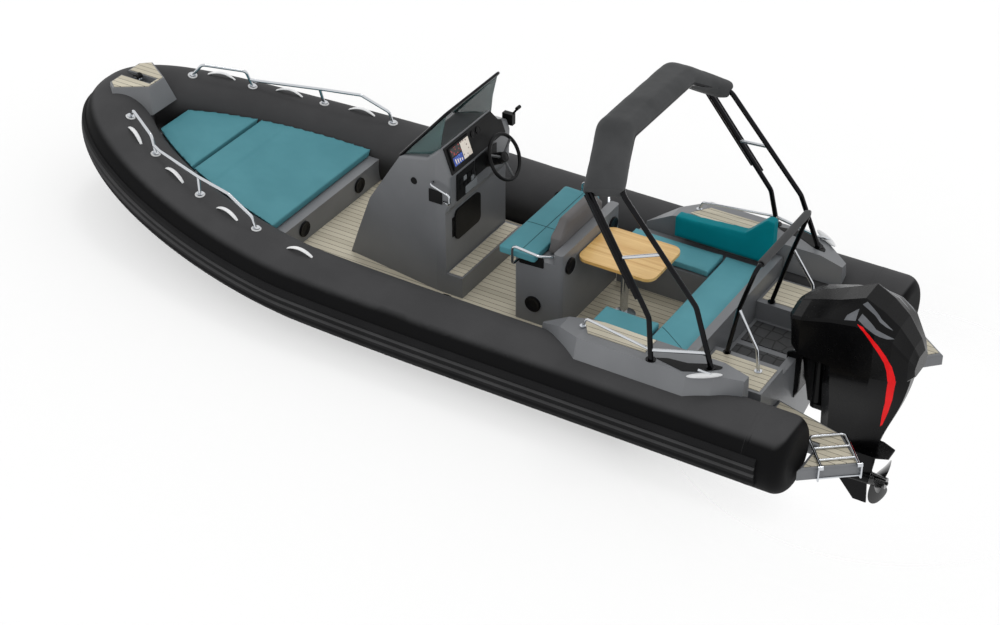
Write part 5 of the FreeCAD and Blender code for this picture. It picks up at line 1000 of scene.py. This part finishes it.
# %% Rail pads
tube_skin = {1: tree_of(nodes["tube_port"]), -1: tree_of(nodes["tube_starboard"])}
RAIL_PAD = [(0, -3), (38, -3), (40, 1), (33, 5), (22, 6), (16, 14), (0, 15)]
RAIL_FEET = ((5.658, 0.399, 0.847), (5.232, 0.634, 0.755), (4.661, 0.830, 0.661), (4.061, 0.933, 0.593))
for side, word in SIDES:
    for number, (x, y, z) in enumerate(RAIL_FEET, 1):
        spot, outward = tube_skin[side].find_nearest(Vector((x, side * y, z)))[:2]
        piece_from(put(turned(RAIL_PAD), spot, outward), f"rail_pad_{word}_{number}", "pad_white")
print("pads under", 2 * len(RAIL_FEET), "rail feet")

# %% [markdown]
# ## Carrying straps
# Four stiff rubber straps are glued along the crest of each tube. A strap rises in one slow arch and
# narrows to its ends. Each is bent from a flat strip and set on the tube where the solid strap lies.

# %% Arched straps
STRAP_HALF = 0.115
STRAP_RISE = 0.037
STRAP_HALF_WIDTH = 0.015
STRAP_MM = 6.0
END_NARROWING = 0.45


def arched_strap(name, spot, ahead, outward):
    """A strap bent from a flat strip, standing on a place with its arch along a direction."""
    shape = bmesh.new()
    bmesh.ops.create_grid(shape, x_segments=28, y_segments=4, size=1.0)
    bmesh.ops.solidify(shape, geom=shape.faces[:], thickness=STRAP_MM * MM)
    for vert in shape.verts:
        share, side, up = vert.co
        width = STRAP_HALF_WIDTH * (1 - END_NARROWING * share ** 4)
        vert.co = (share * STRAP_HALF, side * width, up + STRAP_RISE * (1 - share * share))
    left = outward.cross(ahead).normalized()
    turn = Matrix((left.cross(outward), left, outward)).transposed().to_4x4()
    bmesh.ops.transform(shape, verts=shape.verts, matrix=Matrix.Translation(spot) @ turn)
    strap = piece_from(shape, name, "handle_plastic")
    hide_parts("grab_handles")


for number, lump in enumerate(lumps_of("grab_handles"), 1):
    places = [vert.co.copy() for vert in lump.verts]
    lump.free()
    middle = sum(places, Vector()) / len(places)
    tip = max(places, key=lambda place: (place - middle).length) - middle
    places.sort(key=lambda place: (place - middle).dot(tip))
    end = len(places) // 8
    ahead = (sum(places[-end:], Vector()) - sum(places[:end], Vector())).normalized()
    spot, outward = tube_skin[1 if middle.y > 0 else -1].find_nearest(middle)[:2]
    arched_strap(f"strap_{number}", spot + outward * 2 * MM, ahead, outward)
print("straps bent")

# %% [markdown]
# ## Coaming inserts
# A flat black plate lies along the outer side of each coaming between the legs of the arch, with a long pale
# oval cleat beside it. Both are set on the coaming's flat top.

# %% Black plate and cleat
COAMING_TOP = 0.686
CLEAT_HALVES = (0.125, 0.026, 0.014)
CLEAT_TURN = math.radians(35)
BLACK_PLATE_OUTLINE = [(0.675, 0.975), (0.599, 0.935), (0.456, 0.917), (0.305, 0.840), (0.228, 0.835), (0.235, 0.870),
        (0.345, 0.965), (0.449, 1.020)]
for side, word in SIDES:
    corners = [(x, side * y, COAMING_TOP) for x, y in BLACK_PLATE_OUTLINE]
    shape = plate_shape(corners, 3.0, 12, 1.0)
    low = min(vert.co.z for vert in shape.verts)
    bmesh.ops.translate(shape, verts=shape.verts, vec=(0, 0, COAMING_TOP + SEAT_GAP - low))
    piece_from(shape, f"coaming_black_plate_{word}", "black_plastic", smooth=False)
    cleat = bmesh.new()
    bmesh.ops.create_uvsphere(cleat, u_segments=28, v_segments=14, radius=1.0)
    bmesh.ops.scale(cleat, verts=cleat.verts, vec=CLEAT_HALVES)
    bmesh.ops.rotate(cleat, verts=cleat.verts, matrix=Matrix.Rotation(side * CLEAT_TURN, 3, "Z"))
    bmesh.ops.translate(cleat, verts=cleat.verts, vec=(0.29, side * 1.00, COAMING_TOP + 0.012))
    piece_from(cleat, f"long_cleat_{word}", "pad_white")
print("coamings fitted")

# %% [markdown]
# ## Welded bands and valves
# The tubes are made of panels that overlap, and each air chamber has a valve. The overlap near the stern
# shows as a low step, drawn as a thin band round the tube, and the valve is a turned disc on its inner side.

# %% Bands and valves
BAND_X, BAND_HALF_MM, BAND_EDGE_MM = -0.14, 17, 2
TUBE_AXIS_Y, TUBE_AXIS_Z, TUBE_RADIUS_MM = 0.988, 0.270, 280
VALVE_X, VALVE_Y, VALVE_Z = 2.45, 0.80, 0.50
VALVE = [(0, -2), (30, -2), (32, 2), (26, 5), (24, 3), (14, 3), (12, 6), (0, 7)]
band_out = TUBE_RADIUS_MM + 1.0
band_foot = band_out - 1.2
for side, word in SIDES:
    band = turned([(band_foot, -BAND_HALF_MM), (band_out, BAND_EDGE_MM - BAND_HALF_MM),
                   (band_out, BAND_HALF_MM - BAND_EDGE_MM), (band_foot, BAND_HALF_MM)], 96)
    put(band, (BAND_X, side * TUBE_AXIS_Y, TUBE_AXIS_Z), (1, 0, 0))
    piece_from(band, f"tube_band_{word}", "tube_with_painted_shade")
for side, word in SIDES:
    spot, outward = tube_skin[side].find_nearest(Vector((VALVE_X, side * VALVE_Y, VALVE_Z)))[:2]
    piece_from(put(turned(VALVE), spot, outward), f"air_valve_{word}", "black_plastic")
print("bands and valves on")
